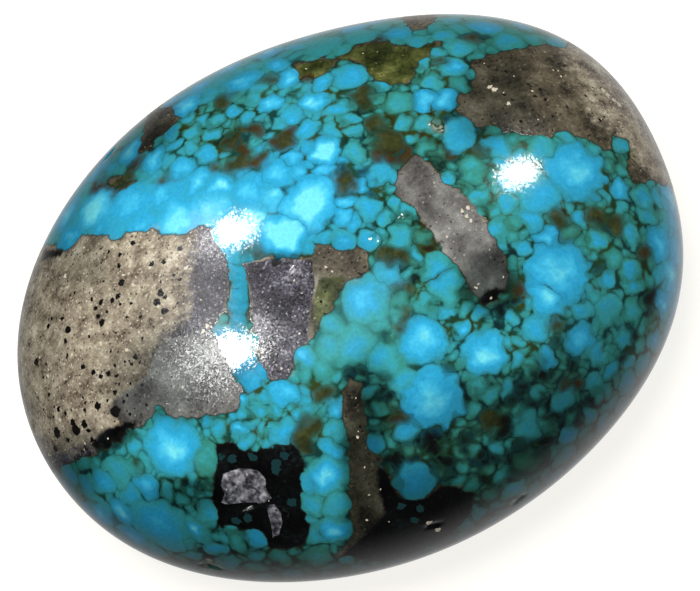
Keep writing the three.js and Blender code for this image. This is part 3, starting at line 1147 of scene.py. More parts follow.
    def fill(self, faces: np.ndarray, charted: np.ndarray, area: np.ndarray) -> None:
        """Fill the rest of the surface with cells of falling size, and the rock with specks.

        Args:
            faces: The middles of the mesh's faces, in metres.
            charted: Where they lie in the picture.
            area: The faces' areas.
        """
        chance = np.random.default_rng(SEED)
        depth = self.host_depth(faces, charted)
        zones = self.zone_values(charted)
        places = faces / MM
        limit = len(self.centres) + sum(r.throws for r in self.rounds) + self.speck_throws
        centres = np.empty((limit, 3), np.float32)
        radii = np.empty(limit, np.float32)
        count = len(self.centres)
        centres[:count] = self.centres
        radii[:count] = [form[0] for form in self.forms]
        share = area / area.sum()
        for step in self.rounds:
            for index in chance.choice(len(places), step.throws, p=share):
                size, tone, web, _ = zones[index]
                largest = step.high * size * self.pixel * chance.uniform(*self.size_spread)
                spare = chance.uniform(-self.tone_spread, self.tone_spread)
                if depth[index] > -self.rock_gap * largest:
                    continue
                away = np.linalg.norm(centres[:count] - places[index], axis=1) - radii[:count]
                room = away.min() / self.overlap
                if room < step.low * size * self.pixel:
                    continue
                radius = min(room, largest)
                rank = radius / (size * self.pixel)
                tone += spare + self.tone_by_size * (rank - self.middle_rank)
                tone = min(max(tone, self.tone_limits[0]), self.tone_limits[1])
                radius *= 1 - self.web_shrink * web
                self.add_cell(places[index], radius, tone, self.core_glow * rank)
                centres[count], radii[count] = places[index], radius
                count += 1
        for index in chance.choice(len(places), self.speck_throws, p=share):
            size, pick = chance.uniform(0, 1, 2)
            if depth[index] < self.speck_depth:
                continue
            radius = self.speck_size[0] + size ** 3 * (self.speck_size[1] - self.speck_size[0])
            away = np.linalg.norm(centres[:count] - places[index], axis=1) - radii[:count]
            if away.min() < self.speck_spacing * radius:
                continue
            tone = Tone.BLACK if pick < self.dark_specks else Tone.PALE_AND_GLINT
            self.add_cell(places[index], radius, tone.value, 0.0)
            centres[count], radii[count] = places[index], radius
            count += 1

    def share_out(self, mesh: bpy.types.Mesh, faces: np.ndarray) -> None:
        """Store on each face the few cells that reach nearest to it.

        Args:
            mesh: The stone's mesh.
            faces: The middles of its faces, in mm.
        """
        centres = np.array(self.centres)
        forms = np.array(self.forms)
        small = np.flatnonzero(forms[:, 0] <= self.large)
        large = np.flatnonzero(forms[:, 0] > self.large)
        tree = kdtree.KDTree(len(small))
        for number, index in enumerate(small):
            tree.insert(centres[index], number)
        tree.balance()
        near = small[np.array([
            [hit[1] for hit in tree.find_n(face, self.searched)] for face in faces.tolist()
        ])]
        gaps = np.linalg.norm(faces[:, None] - centres[near], axis=2) - forms[near, 0]
        rows = np.arange(len(faces))
        for index in large:
            gap = np.linalg.norm(faces - centres[index], axis=1) - forms[index, 0]
            worst = gaps.argmax(axis=1)
            better = gap < gaps[rows, worst]
            gaps[rows[better], worst[better]] = gap[better]
            near[rows[better], worst[better]] = index
        order = np.argsort(gaps, axis=1)[:, :CELLS_KNOWN]
        chosen = np.take_along_axis(near, order, axis=1)
        for rank in range(CELLS_KNOWN):
            self.store(mesh, f"cell_{rank}", "FACE", centres[chosen[:, rank]])
            self.store(mesh, f"form_{rank}", "FACE", forms[chosen[:, rank]])


@dataclass
class Studio:
    """A pale floor, soft light from above and the small lamps that the polish reflects."""

    view: PhotoView
    # The room's light overhead and at the table, the heights between which it changes, and
    # how much brighter it is to one side, at so many degrees from the picture's right.
    overhead: float = 0.04
    table: float = 0.68
    room_span: tuple[float, float] = (-0.12, -0.95)
    lean: float = 0.65
    lean_angle: float = 28.0
    # The soft lamp: how far up and right of the camera it hangs, and its distance and size
    # in metres and power in watts.
    lamp_up: float = 0.38
    lamp_right: float = -0.26
    lamp_away: float = 0.45
    lamp_size: float = 0.22
    lamp_power: float = 2.3
    # The lamps of the highlights hang this far from the stone, in metres.
    lamp_distance: float = 0.5
    floor_size: float = 2.0
    floor_glow: float = 0.88

    def build(self) -> None:
        """Add the floor, the world and the soft main lamp."""
        bpy.context.scene.view_settings.view_transform = "Standard"
        self.add_floor()
        self.add_world()
        right, up, back = self.view.axes()
        target = np.array(self.view.target)
        way = back + self.lamp_up * up + self.lamp_right * right
        place = target + way / np.linalg.norm(way) * self.lamp_away
        self.add_lamp("soft_lamp", place, target, self.lamp_size, self.lamp_power,
                      glossy=False)

    def add_floor(self) -> None:
        """Add a wide white sheet under the stone, which the polish doesn't mirror."""
        bpy.ops.object.select_all(action="DESELECT")
        bpy.ops.mesh.primitive_plane_add(size=self.floor_size)
        floor = bpy.context.object
        floor.name = "studio_floor"
        material = bpy.data.materials.new("white paper")
        material.use_nodes = True
        shader = material.node_tree.nodes["Principled BSDF"]
        for name, value in (
            ("Base Color", linear("8a8680")),
            ("Roughness", 0.9),
            ("Specular IOR Level", 0.0),
            ("Emission Color", linear("fffdf8")),
            ("Emission Strength", self.floor_glow),
        ):
            shader.inputs[name].default_value = value
        floor.data.materials.append(material)
        floor.visible_glossy = False
        floor.visible_diffuse = False

    def add_world(self) -> None:
        """Surround the stone with a dim room, lighter near the table and dark overhead."""
        world = bpy.data.worlds.new("studio")
        world.use_nodes = True
        board = NodeBoard(world.node_tree)
        back = world.node_tree.nodes["Background"]
        way = board.add("TexCoord", out="Generated")
        height = board.add("SeparateXYZ", {0: way}, out="Z")
        high, low = self.room_span
        shade = board.add("MapRange", {0: height, 1: high, 2: low, 3: self.overhead,
                                       4: self.table}, **SMOOTH)
        right, up, _ = self.view.axes()
        turn = math.radians(self.lean_angle)
        side = board.add("VectorMath", {0: way, 1: right * math.cos(turn) + up * math.sin(turn)},
                         out="Value", operation="DOT_PRODUCT")
        share = board.add("Math", {0: side, 1: self.lean, 2: 1.0}, operation="MULTIPLY_ADD")
        strength = board.add("Math", {0: shade, 1: share}, operation="MULTIPLY")
        board.plug(strength, back.inputs["Strength"])
        board.plug((1, 1, 1, 1), back.inputs["Color"])
        bpy.context.scene.world = world

    def add_lamp(self, name: str, place: np.ndarray, target: np.ndarray, size: float,
                 power: float, glossy: bool = True, shape: str = "DISK") -> bpy.types.Object:
        """Add an area lamp that shines at a target.

        Args:
            name: What it is called.
            place: Where it hangs, in metres.
            target: What it shines at.
            size: How wide it is, in metres.
            power: Its watts.
            glossy: Whether the polish mirrors it.
            shape: The form of its face.

        Returns:
            The lamp.
        """
        data = bpy.data.lights.new(name, "AREA")
        data.shape, data.size, data.energy = shape, size, power
        lamp = bpy.data.objects.new(name, data)
        way = Vector(place - target)
        lamp.matrix_world = (
            Matrix.Translation(Vector(place)) @ way.to_track_quat("Z", "Y").to_matrix().to_4x4()
        )
        lamp.visible_glossy = glossy
        bpy.context.scene.collection.objects.link(lamp)
        return lamp


@dataclass(frozen=True)
class Noise:
    """A noise in the stone: the size of its lumps in mm, and how fine and rough it is."""

    size: float
    detail: float = 2.0
    roughness: float = 0.5

    def inputs(self, place: Socket) -> Plug:
        """Give the inputs of its node, for a place in mm."""
        return {"Vector": place, "Scale": 1 / self.size, "Detail": self.detail,
                "Roughness": self.roughness}


@dataclass(frozen=True)
class Span:
    """A change of one value into another, between two ends of what it is measured by."""

    start: float
    end: float
    at_start: float = 0.0
    at_end: float = 1.0

    def inputs(self, measure: Socket) -> Plug:
        """Give the inputs of its node."""
        return {0: measure, 1: self.start, 2: self.end, 3: self.at_start, 4: self.at_end}


@dataclass(frozen=True)
class RockFinish:
    """One host rock, polished: its colours from dark to light, and its texture in mm.

    Grain and blotch are the sizes of its fine and broad mottling. Of its grains, a share
    is pale and a share dark. Its edge is ragged and soft by so many mm.
    """

    colours: tuple[str, ...]
    grain: float
    blotch: float
    grain_share: float
    pale_share: float
    dark_share: float
    ragged: float
    soft: float
    roughness: float

    def stops(self) -> list[tuple[float, str]]:
        """Spread the colours over the middle of a noise, where its values lie.

        Returns:
            The places and colours of a ramp.
        """
        first, last = 0.36, 0.66
        steps = len(self.colours) - 1
        return [(first + (last - first) * n / steps, c) for n, c in enumerate(self.colours)]


# Host rock takes a duller polish than turquoise, and its grains glint one by one.
ROCK_FINISHES: dict[Rock, RockFinish] = {
    Rock.UMBER: RockFinish(("2c2820", "4a4437", "655c49", "7d7460", "98907c"),
                           0.13, 1.1, 0.30, 0.05, 0.08, 0.10, 0.05, 0.24),
    Rock.OLIVE: RockFinish(("1e280c", "38401a", "4d5426", "656b38", "8b8a4e"),
                           0.14, 0.8, 0.25, 0.03, 0.06, 0.12, 0.06, 0.24),
    Rock.GREY: RockFinish(("121015", "29262e", "434049", "625f69", "a09da6"),
                          0.10, 0.9, 0.50, 0.18, 0.22, 0.09, 0.04, 0.19),
    Rock.TAN: RockFinish(("5f5445", "8c7f6d", "ab9e88", "c3b79e", "e8dcc6"),
                         0.11, 0.60, 0.36, 0.20, 0.12, 0.70, 0.36, 0.24),
    Rock.ROD: RockFinish(("44423f", "625f5b", "7e7c77", "94938d", "b2b0a8"),
                         0.11, 1.3, 0.22, 0.05, 0.04, 0.25, 0.12, 0.25),
    Rock.BLACK: RockFinish(("040405", "080809", "0d0d0e", "15191a", "263030"),
                           0.14, 0.9, 0.4, 0.01, 0.0, 0.16, 0.10, 0.14),
    Rock.SILVER: RockFinish(("232127", "4d4a51", "838088", "b5b1b8", "e6e2e4"),
                            0.10, 0.30, 0.18, 0.05, 0.03, 0.04, 0.02, 0.30),
}

# Turquoise runs from dark green through sea green to a clear sky blue as it gets purer.
# Past a quarter the scale holds the spots and specks of other minerals; its pale stops also
# paint glints on chips.
TURQUOISE_SCALE = (
    (0.00, "12302a"), (0.03, "1d4a40"), (0.07, "3c7c66"), (0.105, "3c9a8e"),
    (0.135, "3fabb0"), (0.165, "37adcc"), (0.195, "31b2e2"), (0.225, "4ccff8"), (0.25, "7cf0ff"),
    (0.35, "1f2410"), (0.375, "3b4120"), (0.40, "66683a"), (0.48, "332812"), (0.52, "54401f"),
    (0.60, "0c0b0b"), (0.65, "14110f"), (0.73, "d6cbb2"), (0.77, "e2d8c2"),
    (0.86, "152f31"), (0.90, "1d4548"),
)
# The web is dark clay and limonite: the deepest of it in the wide gaps, and a fringe of
# green where it thins out over the cells.
WEB_DEEP = ((0.30, "0b1512"), (0.44, "12261f"), (0.52, "202a12"), (0.60, "32301a"),
            (0.70, "1c130e"))
WEB_FRINGE = ((0.32, "174748"), (0.48, "204c37"), (0.60, "384c20"), (0.70, "38361b"))
DARK_GRAIN = "14100e"
ROCK_RIM = "1c2417"


@dataclass(frozen=True)
class Ground:
    """What the pattern starts from at a place, as sockets of the material.

    Place is in mm, and moved is the same place pushed about by noise. Edge, patchy and
    mottle are noises about zero. Host is the depth in rock in mm, web and deep as in Zone.
    """

    place: Socket
    moved: Socket
    edge: Socket
    patchy: Socket
    mottle: Socket
    host: Socket
    web: Socket
    deep: Socket


@dataclass(frozen=True)
class Cells:
    """How a place lies among its nearest cells, as sockets of the material.

    Gap and second are how far it is outside the nearest cell and the next one, in mm. Tone
    is the nearest cell's, and colour is blended from all of them.
    """

    gap: Socket
    second: Socket
    tone: Socket
    colour: Socket


@dataclass(frozen=True)
class Surface:
    """A colour, a roughness and a height of the polished surface, as sockets."""

    colour: Socket
    rough: Socket | float
    height: Socket


@dataclass
class StoneMaterial:
    """Polished turquoise with its host rock: a dense stone with a glassy hand polish.

    Sizes and depths are in mm.
    """

    board: NodeBoard | None = None
    ior: float = 1.62
    # Two noises push places about, so that cells aren't round: the size and reach of each.
    # Between two depths in rock the reach shrinks, so that its specks keep their places.
    warps: tuple[tuple[float, float], ...] = ((0.75, 0.44), (0.20, 0.06))
    rock_reach: float = 0.12
    rock_calm: tuple[float, float] = (-0.05, 0.2)
    edge_noise: Noise = Noise(0.28, 4.0, 0.62)
    patch_noise: Noise = Noise(0.9)
    mottle_noise: Noise = Noise(0.35, 3.0, 0.6)
    mottle_share: float = 0.05
    # Cells melt into each other over this distance, less where the web is dark.
    merge: tuple[float, float] = (0.17, 0.10)
    merge_web: tuple[float, float] = (0.1, 0.7)
    # A cell is paler at its core and deeper at its edge, if its tone is up to the bluest.
    core_span: Span = Span(1.1, 0.05, -0.55, 1.0)
    core_lift: float = 0.11
    bluest: float = 0.25
    blue_margin: float = 0.01
    least_ceiling: float = 0.02
    grain_noise: Noise = Noise(0.14, 3.0, 0.7)
    grain_span: Span = Span(0.3, 0.7, 0.88, 1.13)
    # Thin dark lines run where two cells meet, here and there.
    line_width: Span = Span(-0.12, 0.2, 0.05, 0.16)
    line_seen: Span = Span(-0.10, 0.14)
    line_share: float = 0.7
    # The web fills the gaps that the cells leave, with uneven edges.
    gap_edge: float = 0.16
    gap_patchy: float = 0.20
    gap_span: Span = Span(-0.035, 0.17)
    gap_web: Span = Span(0.05, 0.6)
    # Where the deep value is high, the web slides towards its darkest green: partly deeper
    # colour, partly painted shade.
    tint_noise: Noise = Noise(1.3)
    tint_deep: float = -0.24
    # Colour sinks towards the joint of two cells, more where the web is dark.
    joint_span: Span = Span(0.0, 0.28)
    joint_least: Span = Span(0.2, 1.0, 1.0, 0.62)
    fringe_span: Span = Span(0.0, 0.45)
    deep_span: Span = Span(0.4, 1.15)
    # What is left of red, and of green and blue, where the deep value is highest: the deepest
    # colour of the stone, and its darkest painted shade.
    deep_shade_red: float = 0.22
    deep_shade_blue: float = 0.26
    turquoise_rough: Span = Span(0.0, 1.0, 0.085, 0.17)
    # Host rock: grains of one pitch, each pale, dark or plain.
    grain_pitch: float = 0.11
    grain_core: Span = Span(0.48, 0.28)
    grain_strength: float = 0.75
    # The detail and roughness of its fine and broad mottling.
    rock_grain: tuple[float, float] = (2.0, 0.7)
    rock_blotch: tuple[float, float] = (3.0, 0.55)
    # Specks of other minerals have crumbly edges.
    crumb_noise: Noise = Noise(0.10)
    crumb_share: float = 0.16
    speck_span: Span = Span(-0.012, 0.014, 1.0, 0.0)
    # A stored tone past this is another mineral's.
    minerals: float = 0.3
    # Cells at the rock's border bulge into it, and a dark rim runs along it.
    bulge: tuple[float, float] = (-0.22, 0.15)
    bulge_share: float = 0.8
    border_edge: float = 0.32
    rim_span: Span = Span(0.015, 0.085, 0.65, 0.0)
    border_span: Span = Span(-0.02, 0.02)
    # Scratches and grains tilt the polish in tiny facets, drawn as coarse as they show.
    glint_pitch: float = 0.05
    glint_span: Span = Span(0.17, 0.23, 0.035, 0.12)
    # Height and strength of the relief of the web and of the rock's grain.
    web_relief: tuple[float, float] = (0.002, 0.6)
    rock_relief: tuple[float, float] = (0.004, 0.8)

    def build(self) -> bpy.types.Material:
        """Make the material.

        Returns:
            The material, whose pattern follows the stone's attributes.
        """
        material = bpy.data.materials.new("polished turquoise with host rock")
        material.use_nodes = True
        shader = material.node_tree.nodes["Principled BSDF"]
        self.board = NodeBoard(material.node_tree)
        add, plug = self.board.add, self.board.plug
        ground = self.ground()
        cells = self.cells(ground)
        turquoise = self.turquoise(ground, cells)
        rock = self.rock(ground, cells)
        whole = self.joined(ground, cells, turquoise, rock)
        normal = self.glinting(ground, whole)
        for height, (distance, strength) in ((turquoise.height, self.web_relief),
                                             (whole.height, self.rock_relief)):
            normal = add("Bump", {"Height": height, "Distance": distance * MM,
                                  "Strength": strength, "Normal": normal})
        for name, value in (("Base Color", whole.colour), ("Roughness", whole.rough),
                            ("IOR", self.ior), ("Normal", normal)):
            plug(value, shader.inputs[name])
        return material

    def carried(self, attribute: str) -> Sequence[Socket]:
        """Read the three numbers of an attribute that the mesh carries."""
        numbers = self.board.add("Attribute", out="Vector", attribute_name=attribute)
        return self.board.add("SeparateXYZ", {0: numbers}).node.outputs

    def centred(self, noise: Noise, place: Socket) -> Socket:
        """Add a noise about zero.

        Args:
            noise: Its size and kind.
            place: The place in mm.

        Returns:
            The noise's value.
        """
        value = self.board.add("TexNoise", noise.inputs(place))
        return self.board.add("Math", {0: value, 1: 0.5}, operation="SUBTRACT")

    def ground(self) -> Ground:
        """Read where a place is and what lies there, and add the noises of its edges.

        Returns:
            The sockets that the rest of the pattern starts from.
        """
        add = self.board.add
        place = add("TexCoord", out="Object")
        place = add("VectorMath", {0: place, "Scale": 1 / MM}, operation="SCALE")
        host, web, deep = self.carried("host")
        moved = place
        for size, reach in self.warps:
            noise = add("TexNoise", Noise(size, 1.0).inputs(place), out="Color")
            offset = add("VectorMath", {0: noise, 1: (0.5, 0.5, 0.5)}, operation="SUBTRACT")
            calm = Span(*self.rock_calm, 2 * reach, min(2 * reach, self.rock_reach))
            reach = add("MapRange", calm.inputs(host))
            moved = add("VectorMath", {0: offset, 1: reach, 2: moved}, operation="MULTIPLY_ADD")
        edge = self.centred(self.edge_noise, place)
        patchy = self.centred(self.patch_noise, place)
        mottle = self.centred(self.mottle_noise, place)
        mottle = add("Math", {0: mottle, 1: self.mottle_share}, operation="MULTIPLY")
        return Ground(place, moved, edge, patchy, mottle, host, web, deep)

    def cells(self, ground: Ground) -> Cells:
        """Find how a place lies among its nearest cells, and blend their colours there.

        Args:
            ground: The sockets of the place.

        Returns:
            The sockets of its cells.
        """
        add = self.board.add
        gaps, tones = [], []
        colour, total = (0.0, 0.0, 0.0), 0.0
        sharp = Span(*self.merge_web, *(-1 / distance for distance in self.merge))
        sharp = add("MapRange", sharp.inputs(ground.web))
        for rank in range(CELLS_KNOWN):
            centre = add("Attribute", out="Vector", attribute_name=f"cell_{rank}")
            radius, tone, glow = self.carried(f"form_{rank}")
            away = add("VectorMath", {0: ground.moved, 1: centre}, out="Value",
                       operation="DISTANCE")
            gap = add("Math", {0: away, 1: radius}, operation="SUBTRACT")
            shown = self.shown_tone(ground, away, radius, tone, glow)
            shade = add("ValToRGB", {0: shown}, stops=TURQUOISE_SCALE)
            weight = add("Math", {0: gap, 1: sharp}, operation="MULTIPLY")
            weight = add("Math", {0: weight}, operation="EXPONENT")
            colour = add("VectorMath", {0: shade, 1: weight, 2: colour},
                         operation="MULTIPLY_ADD")
            total = add("Math", {0: weight, 1: total}, operation="ADD")
            gaps.append(gap)
            tones.append(tone)
        colour = add("VectorMath", {0: colour, 1: total}, operation="DIVIDE")
        texture = add("TexNoise", self.grain_noise.inputs(ground.place))
        texture = add("MapRange", self.grain_span.inputs(texture))
        colour = add("VectorMath", {0: colour, "Scale": texture}, operation="SCALE")
        return self.ranked(gaps, tones, colour)

    def shown_tone(self, ground: Ground, away: Socket, radius: Socket, tone: Socket,
                   glow: Socket) -> Socket:
        """Lift a cell's tone at its core, and mottle it.

        Args:
            ground: The sockets of the place.
            away: How far the place is from the cell's centre.
            radius: The cell's radius.
            tone: The cell's own tone.
            glow: How much its core glows.

        Returns:
            The tone shown at the place.
        """
        add = self.board.add
        reach = add("Math", {0: away, 1: radius}, operation="DIVIDE")
        core = add("MapRange", self.core_span.inputs(reach), **SMOOTH)
        shift = add("Math", {0: core, 1: glow}, operation="MULTIPLY")
        blue = add("Math", {0: tone, 1: self.bluest + self.blue_margin}, operation="LESS_THAN")
        shift = add("Math", {0: shift, 1: blue}, operation="MULTIPLY")
        shown = add("Math", {0: ground.mottle, 1: tone}, operation="ADD")
        shown = add("Math", {0: shift, 1: self.core_lift, 2: shown}, operation="MULTIPLY_ADD")
        ceiling = add("Math", {0: tone, 1: self.least_ceiling}, operation="ADD")
        ceiling = add("Math", {0: ceiling, 1: self.bluest}, operation="MAXIMUM")
        return add("Math", {0: shown, 1: ceiling}, operation="MINIMUM")

    def ranked(self, gaps: Sequence[Socket], tones: Sequence[Socket], colour: Socket) -> Cells:
        """Pick out the nearest two of four cells.

        Args:
            gaps: How far the place is outside each cell.
            tones: The cells' tones.
            colour: The colour blended from all of them.

        Returns:
            The sockets of the cells.
        """
        add = self.board.add
        lows, highs, nearest = [], [], []
        for one, two in ((0, 1), (2, 3)):
            pair = {0: gaps[one], 1: gaps[two]}
            swap = add("Math", {0: gaps[two], 1: gaps[one]}, operation="LESS_THAN")
            lows.append(add("Math", pair, operation="MINIMUM"))
            highs.append(add("Math", pair, operation="MAXIMUM"))
            nearest.append(add("Mix", {0: swap, 2: tones[one], 3: tones[two]}))
        swap = add("Math", {0: lows[1], 1: lows[0]}, operation="LESS_THAN")
        tone = add("Mix", {0: swap, 2: nearest[0], 3: nearest[1]})
        low = add("Math", {0: lows[0], 1: lows[1]}, operation="MINIMUM")
        second = add("Math", {0: lows[0], 1: lows[1]}, operation="MAXIMUM")
        for high in highs:
            second = add("Math", {0: second, 1: high}, operation="MINIMUM")
        return Cells(low, second, tone, colour)

    def turquoise(self, ground: Ground, cells: Cells) -> Surface:
        """Lay the dark web between the cells.

        Args:
            ground: The sockets of the place.
            cells: The sockets of its cells.

        Returns:
            The turquoise's surface, whose web lies a little low.
        """
        add = self.board.add
        between = add("Math", {0: cells.second, 1: cells.gap}, operation="SUBTRACT")
        dark = self.web_darkness(ground, cells, between)
        tint = add("TexNoise", self.tint_noise.inputs(ground.place))
        tint = add("Math", {0: ground.deep, 1: self.tint_deep, 2: tint},
                   operation="MULTIPLY_ADD")
        deep = add("ValToRGB", {0: tint}, stops=WEB_DEEP)
        fringe = add("ValToRGB", {0: tint}, stops=WEB_FRINGE)
        lit = add("MapRange", self.joint_span.inputs(between), **SMOOTH)
        least = add("MapRange", self.joint_least.inputs(ground.web))
        lit = add("Math", {0: lit, 1: least}, operation="MAXIMUM")
        colour = add("VectorMath", {0: cells.colour, "Scale": lit}, operation="SCALE")
        first = add("MapRange", self.fringe_span.inputs(dark))
        second = add("MapRange", self.deep_span.inputs(dark), **SMOOTH)
        colour = add("Mix", {0: first, 6: colour, 7: fringe}, **COLOURS)
        colour = add("Mix", {0: second, 6: colour, 7: deep}, **COLOURS)
        # Painted shade, with the deeper colour of some zones: darker at the rims and the lower
        # right.
        colour = self.deepened_and_shaded(colour, ground)
        rough = add("MapRange", self.turquoise_rough.inputs(dark))
        groove = add("Math", {0: 0.0, 1: dark}, operation="SUBTRACT")
        return Surface(colour, rough, groove)

    def web_darkness(self, ground: Ground, cells: Cells, between: Socket) -> Socket:
        """Find how much of the web covers a place.

        Args:
            ground: The sockets of the place.
            cells: The sockets of its cells.
            between: How far it is from the joint of the nearest two cells.

        Returns:
            The web's share, from 0 to 1.
        """
        add = self.board.add
        width = add("MapRange", self.line_width.inputs(ground.edge))
        line = add("MapRange", {0: between, 1: 0.0, 2: width, 3: 1.0, 4: 0.0},
                   **SMOOTH)
        seen = add("MapRange", self.line_seen.inputs(ground.patchy), **SMOOTH)
        seen = add("Math", {0: seen, 1: ground.web}, operation="MULTIPLY")
        seen = add("Math", {0: seen, 1: self.line_share}, operation="MULTIPLY")
        line = add("Math", {0: line, 1: seen}, operation="MULTIPLY")
        gap = cells.gap
        for noise, share in ((ground.edge, self.gap_edge), (ground.patchy, self.gap_patchy)):
            gap = add("Math", {0: noise, 1: share, 2: gap}, operation="MULTIPLY_ADD")
        gap = add("MapRange", self.gap_span.inputs(gap), **SMOOTH)
        opened = add("MapRange", self.gap_web.inputs(ground.web))
        gap = add("Math", {0: gap, 1: opened}, operation="MULTIPLY")
        return add("Math", {0: line, 1: gap}, operation="MAXIMUM")

    def deepened_and_shaded(self, colour: Socket, ground: Ground) -> Socket:
        """Darken a colour by the deep value, red a little more than the rest.

        This is partly the stone's deeper colour and partly painted shade, which darkens
        the rims and the lower right.

        Args:
            colour: The colour.
            ground: The sockets of the place.

        Returns:
            The darker colour.
        """
        add = self.board.add
        red, blue = (
            add("MapRange", Span(0.0, 1.0, 1.0, left).inputs(ground.deep))
            for left in (self.deep_shade_red, self.deep_shade_blue)
        )
        filters = add("CombineXYZ", {0: red, 1: blue, 2: blue})
        return add("VectorMath", {0: colour, 1: filters}, operation="MULTIPLY")

    def rock(self, ground: Ground, cells: Cells) -> Surface:
        """Lay the kinds of host rock over each other, each with its grain.

        Args:
            ground: The sockets of the place.
            cells: The sockets of its cells, some of which are specks in the rock.

        Returns:
            The rock's surface.
        """
        add = self.board.add
        depths = [*self.carried("rock_a"), *self.carried("rock_b")]
        grains = add("TexVoronoi", {"Vector": ground.moved, "Scale": 1 / self.grain_pitch},
                     out="Color")
        pick = add("SeparateColor", {0: grains})
        inner = add("MapRange", self.grain_core.inputs(grains.node.outputs["Distance"]),
                    **SMOOTH)
        # The first rock lies everywhere, and each later one where its own depth shows it.
        whole = None
        for rock, finish in ROCK_FINISHES.items():
            grain = add("TexNoise", Noise(finish.grain, *self.rock_grain).inputs(ground.place))
            blotch = add("TexNoise",
                         Noise(finish.blotch, *self.rock_blotch).inputs(ground.place))
            mixed = add("Mix", {0: finish.grain_share, 2: blotch, 3: grain})
            shade = add("ValToRGB", {0: mixed}, stops=finish.stops())
            for limit, kind, tint in (
                (1 - finish.pale_share, "GREATER_THAN", finish.colours[-1]),
                (finish.dark_share, "LESS_THAN", DARK_GRAIN),
            ):
                chosen = add("Math", {0: pick, 1: limit}, operation=kind)
                chosen = add("Math", {0: chosen, 1: inner}, operation="MULTIPLY")
                chosen = add("Math", {0: chosen, 1: self.grain_strength}, operation="MULTIPLY")
                shade = add("Mix", {0: chosen, 6: shade, 7: linear(tint)}, **COLOURS)
            if whole is None:
                whole = Surface(shade, finish.roughness, grain)
                continue
            depth = add("Math", {0: ground.edge, 1: 2 * finish.ragged, 2: depths[rock.value]},
                        operation="MULTIPLY_ADD")
            mask = add("MapRange", Span(-finish.soft, finish.soft).inputs(depth),
                       **SMOOTH)
            colour = add("Mix", {0: mask, 6: whole.colour, 7: shade}, **COLOURS)
            rough = add("Mix", {0: mask, 2: whole.rough, 3: finish.roughness})
            whole = Surface(colour, rough, whole.height)
        # Painted shade, with the deeper colour of some zones: darker at the rims and the lower
        # right.
        colour = self.specked(self.deepened_and_shaded(whole.colour, ground), ground, cells)
        return Surface(colour, whole.rough, whole.height)

    def specked(self, colour: Socket, ground: Ground, cells: Cells) -> Socket:
        """Show the cells of other minerals as specks in the rock.

        Args:
            colour: The rock's colour.
            ground: The sockets of the place.
            cells: The sockets of its cells.

        Returns:
            The colour with its specks.
        """
        add = self.board.add
        crumb = self.centred(self.crumb_noise, ground.place)
        speck = add("Math", {0: crumb, 1: self.crumb_share, 2: cells.gap},
                    operation="MULTIPLY_ADD")
        speck = add("MapRange", self.speck_span.inputs(speck), **SMOOTH)
        mineral = add("Math", {0: cells.tone, 1: self.minerals}, operation="GREATER_THAN")
        speck = add("Math", {0: speck, 1: mineral}, operation="MULTIPLY")
        shade = add("ValToRGB", {0: cells.tone}, stops=TURQUOISE_SCALE)
        return add("Mix", {0: speck, 6: colour, 7: shade}, **COLOURS)

    def joined(self, ground: Ground, cells: Cells, turquoise: Surface, rock: Surface) -> Surface:
        """Lay the rock over the turquoise, with a dark rim along its border.

        Args:
            ground: The sockets of the place.
            cells: The sockets of its cells, which bulge into the rock.
            turquoise: The turquoise's surface.
            rock: The rock's surface.

        Returns:
            The whole stone's surface, with the height of the rock's grain.
        """
        add = self.board.add
        inward, outward = self.bulge
        bulge = add("Math", {0: cells.gap, 1: outward}, operation="MINIMUM")
        bulge = add("Math", {0: bulge, 1: inward}, operation="MAXIMUM")
        depth = ground.host
        for noise, share in ((bulge, self.bulge_share), (ground.edge, self.border_edge)):
            depth = add("Math", {0: noise, 1: share, 2: depth}, operation="MULTIPLY_ADD")
        rim = add("Math", {0: depth}, operation="ABSOLUTE")
        rim = add("MapRange", self.rim_span.inputs(rim), **SMOOTH)
        mask = add("MapRange", self.border_span.inputs(depth), **SMOOTH)
        colour = add("Mix", {0: mask, 6: turquoise.colour, 7: rock.colour}, **COLOURS)
        colour = add("Mix", {0: rim, 6: colour, 7: linear(ROCK_RIM)}, **COLOURS)
        rough = add("Mix", {0: mask, 2: turquoise.rough, 3: rock.rough})
        height = add("Math", {0: rock.height, 1: mask}, operation="MULTIPLY")
        return Surface(colour, rough, height)

    def glinting(self, ground: Ground, whole: Surface) -> Socket:
        """Tilt the polish in tiny facets, more where it is duller.

        Args:
            ground: The sockets of the place.
            whole: The whole stone's surface.

        Returns:
            Which way the surface faces.
        """
        add = self.board.add
        glints = add("TexVoronoi", {"Vector": ground.place, "Scale": 1 / self.glint_pitch},
                     out="Color")
        tilt = add("VectorMath", {0: glints, 1: (0.5, 0.5, 0.5)}, operation="SUBTRACT")
        share = add("MapRange", self.glint_span.inputs(whole.rough))
        facing = add("NewGeometry", out="Normal")
        facing = add("VectorMath", {0: tilt, 1: share, 2: facing}, operation="MULTIPLY_ADD")
        return add("VectorMath", {0: facing}, operation="NORMALIZE")


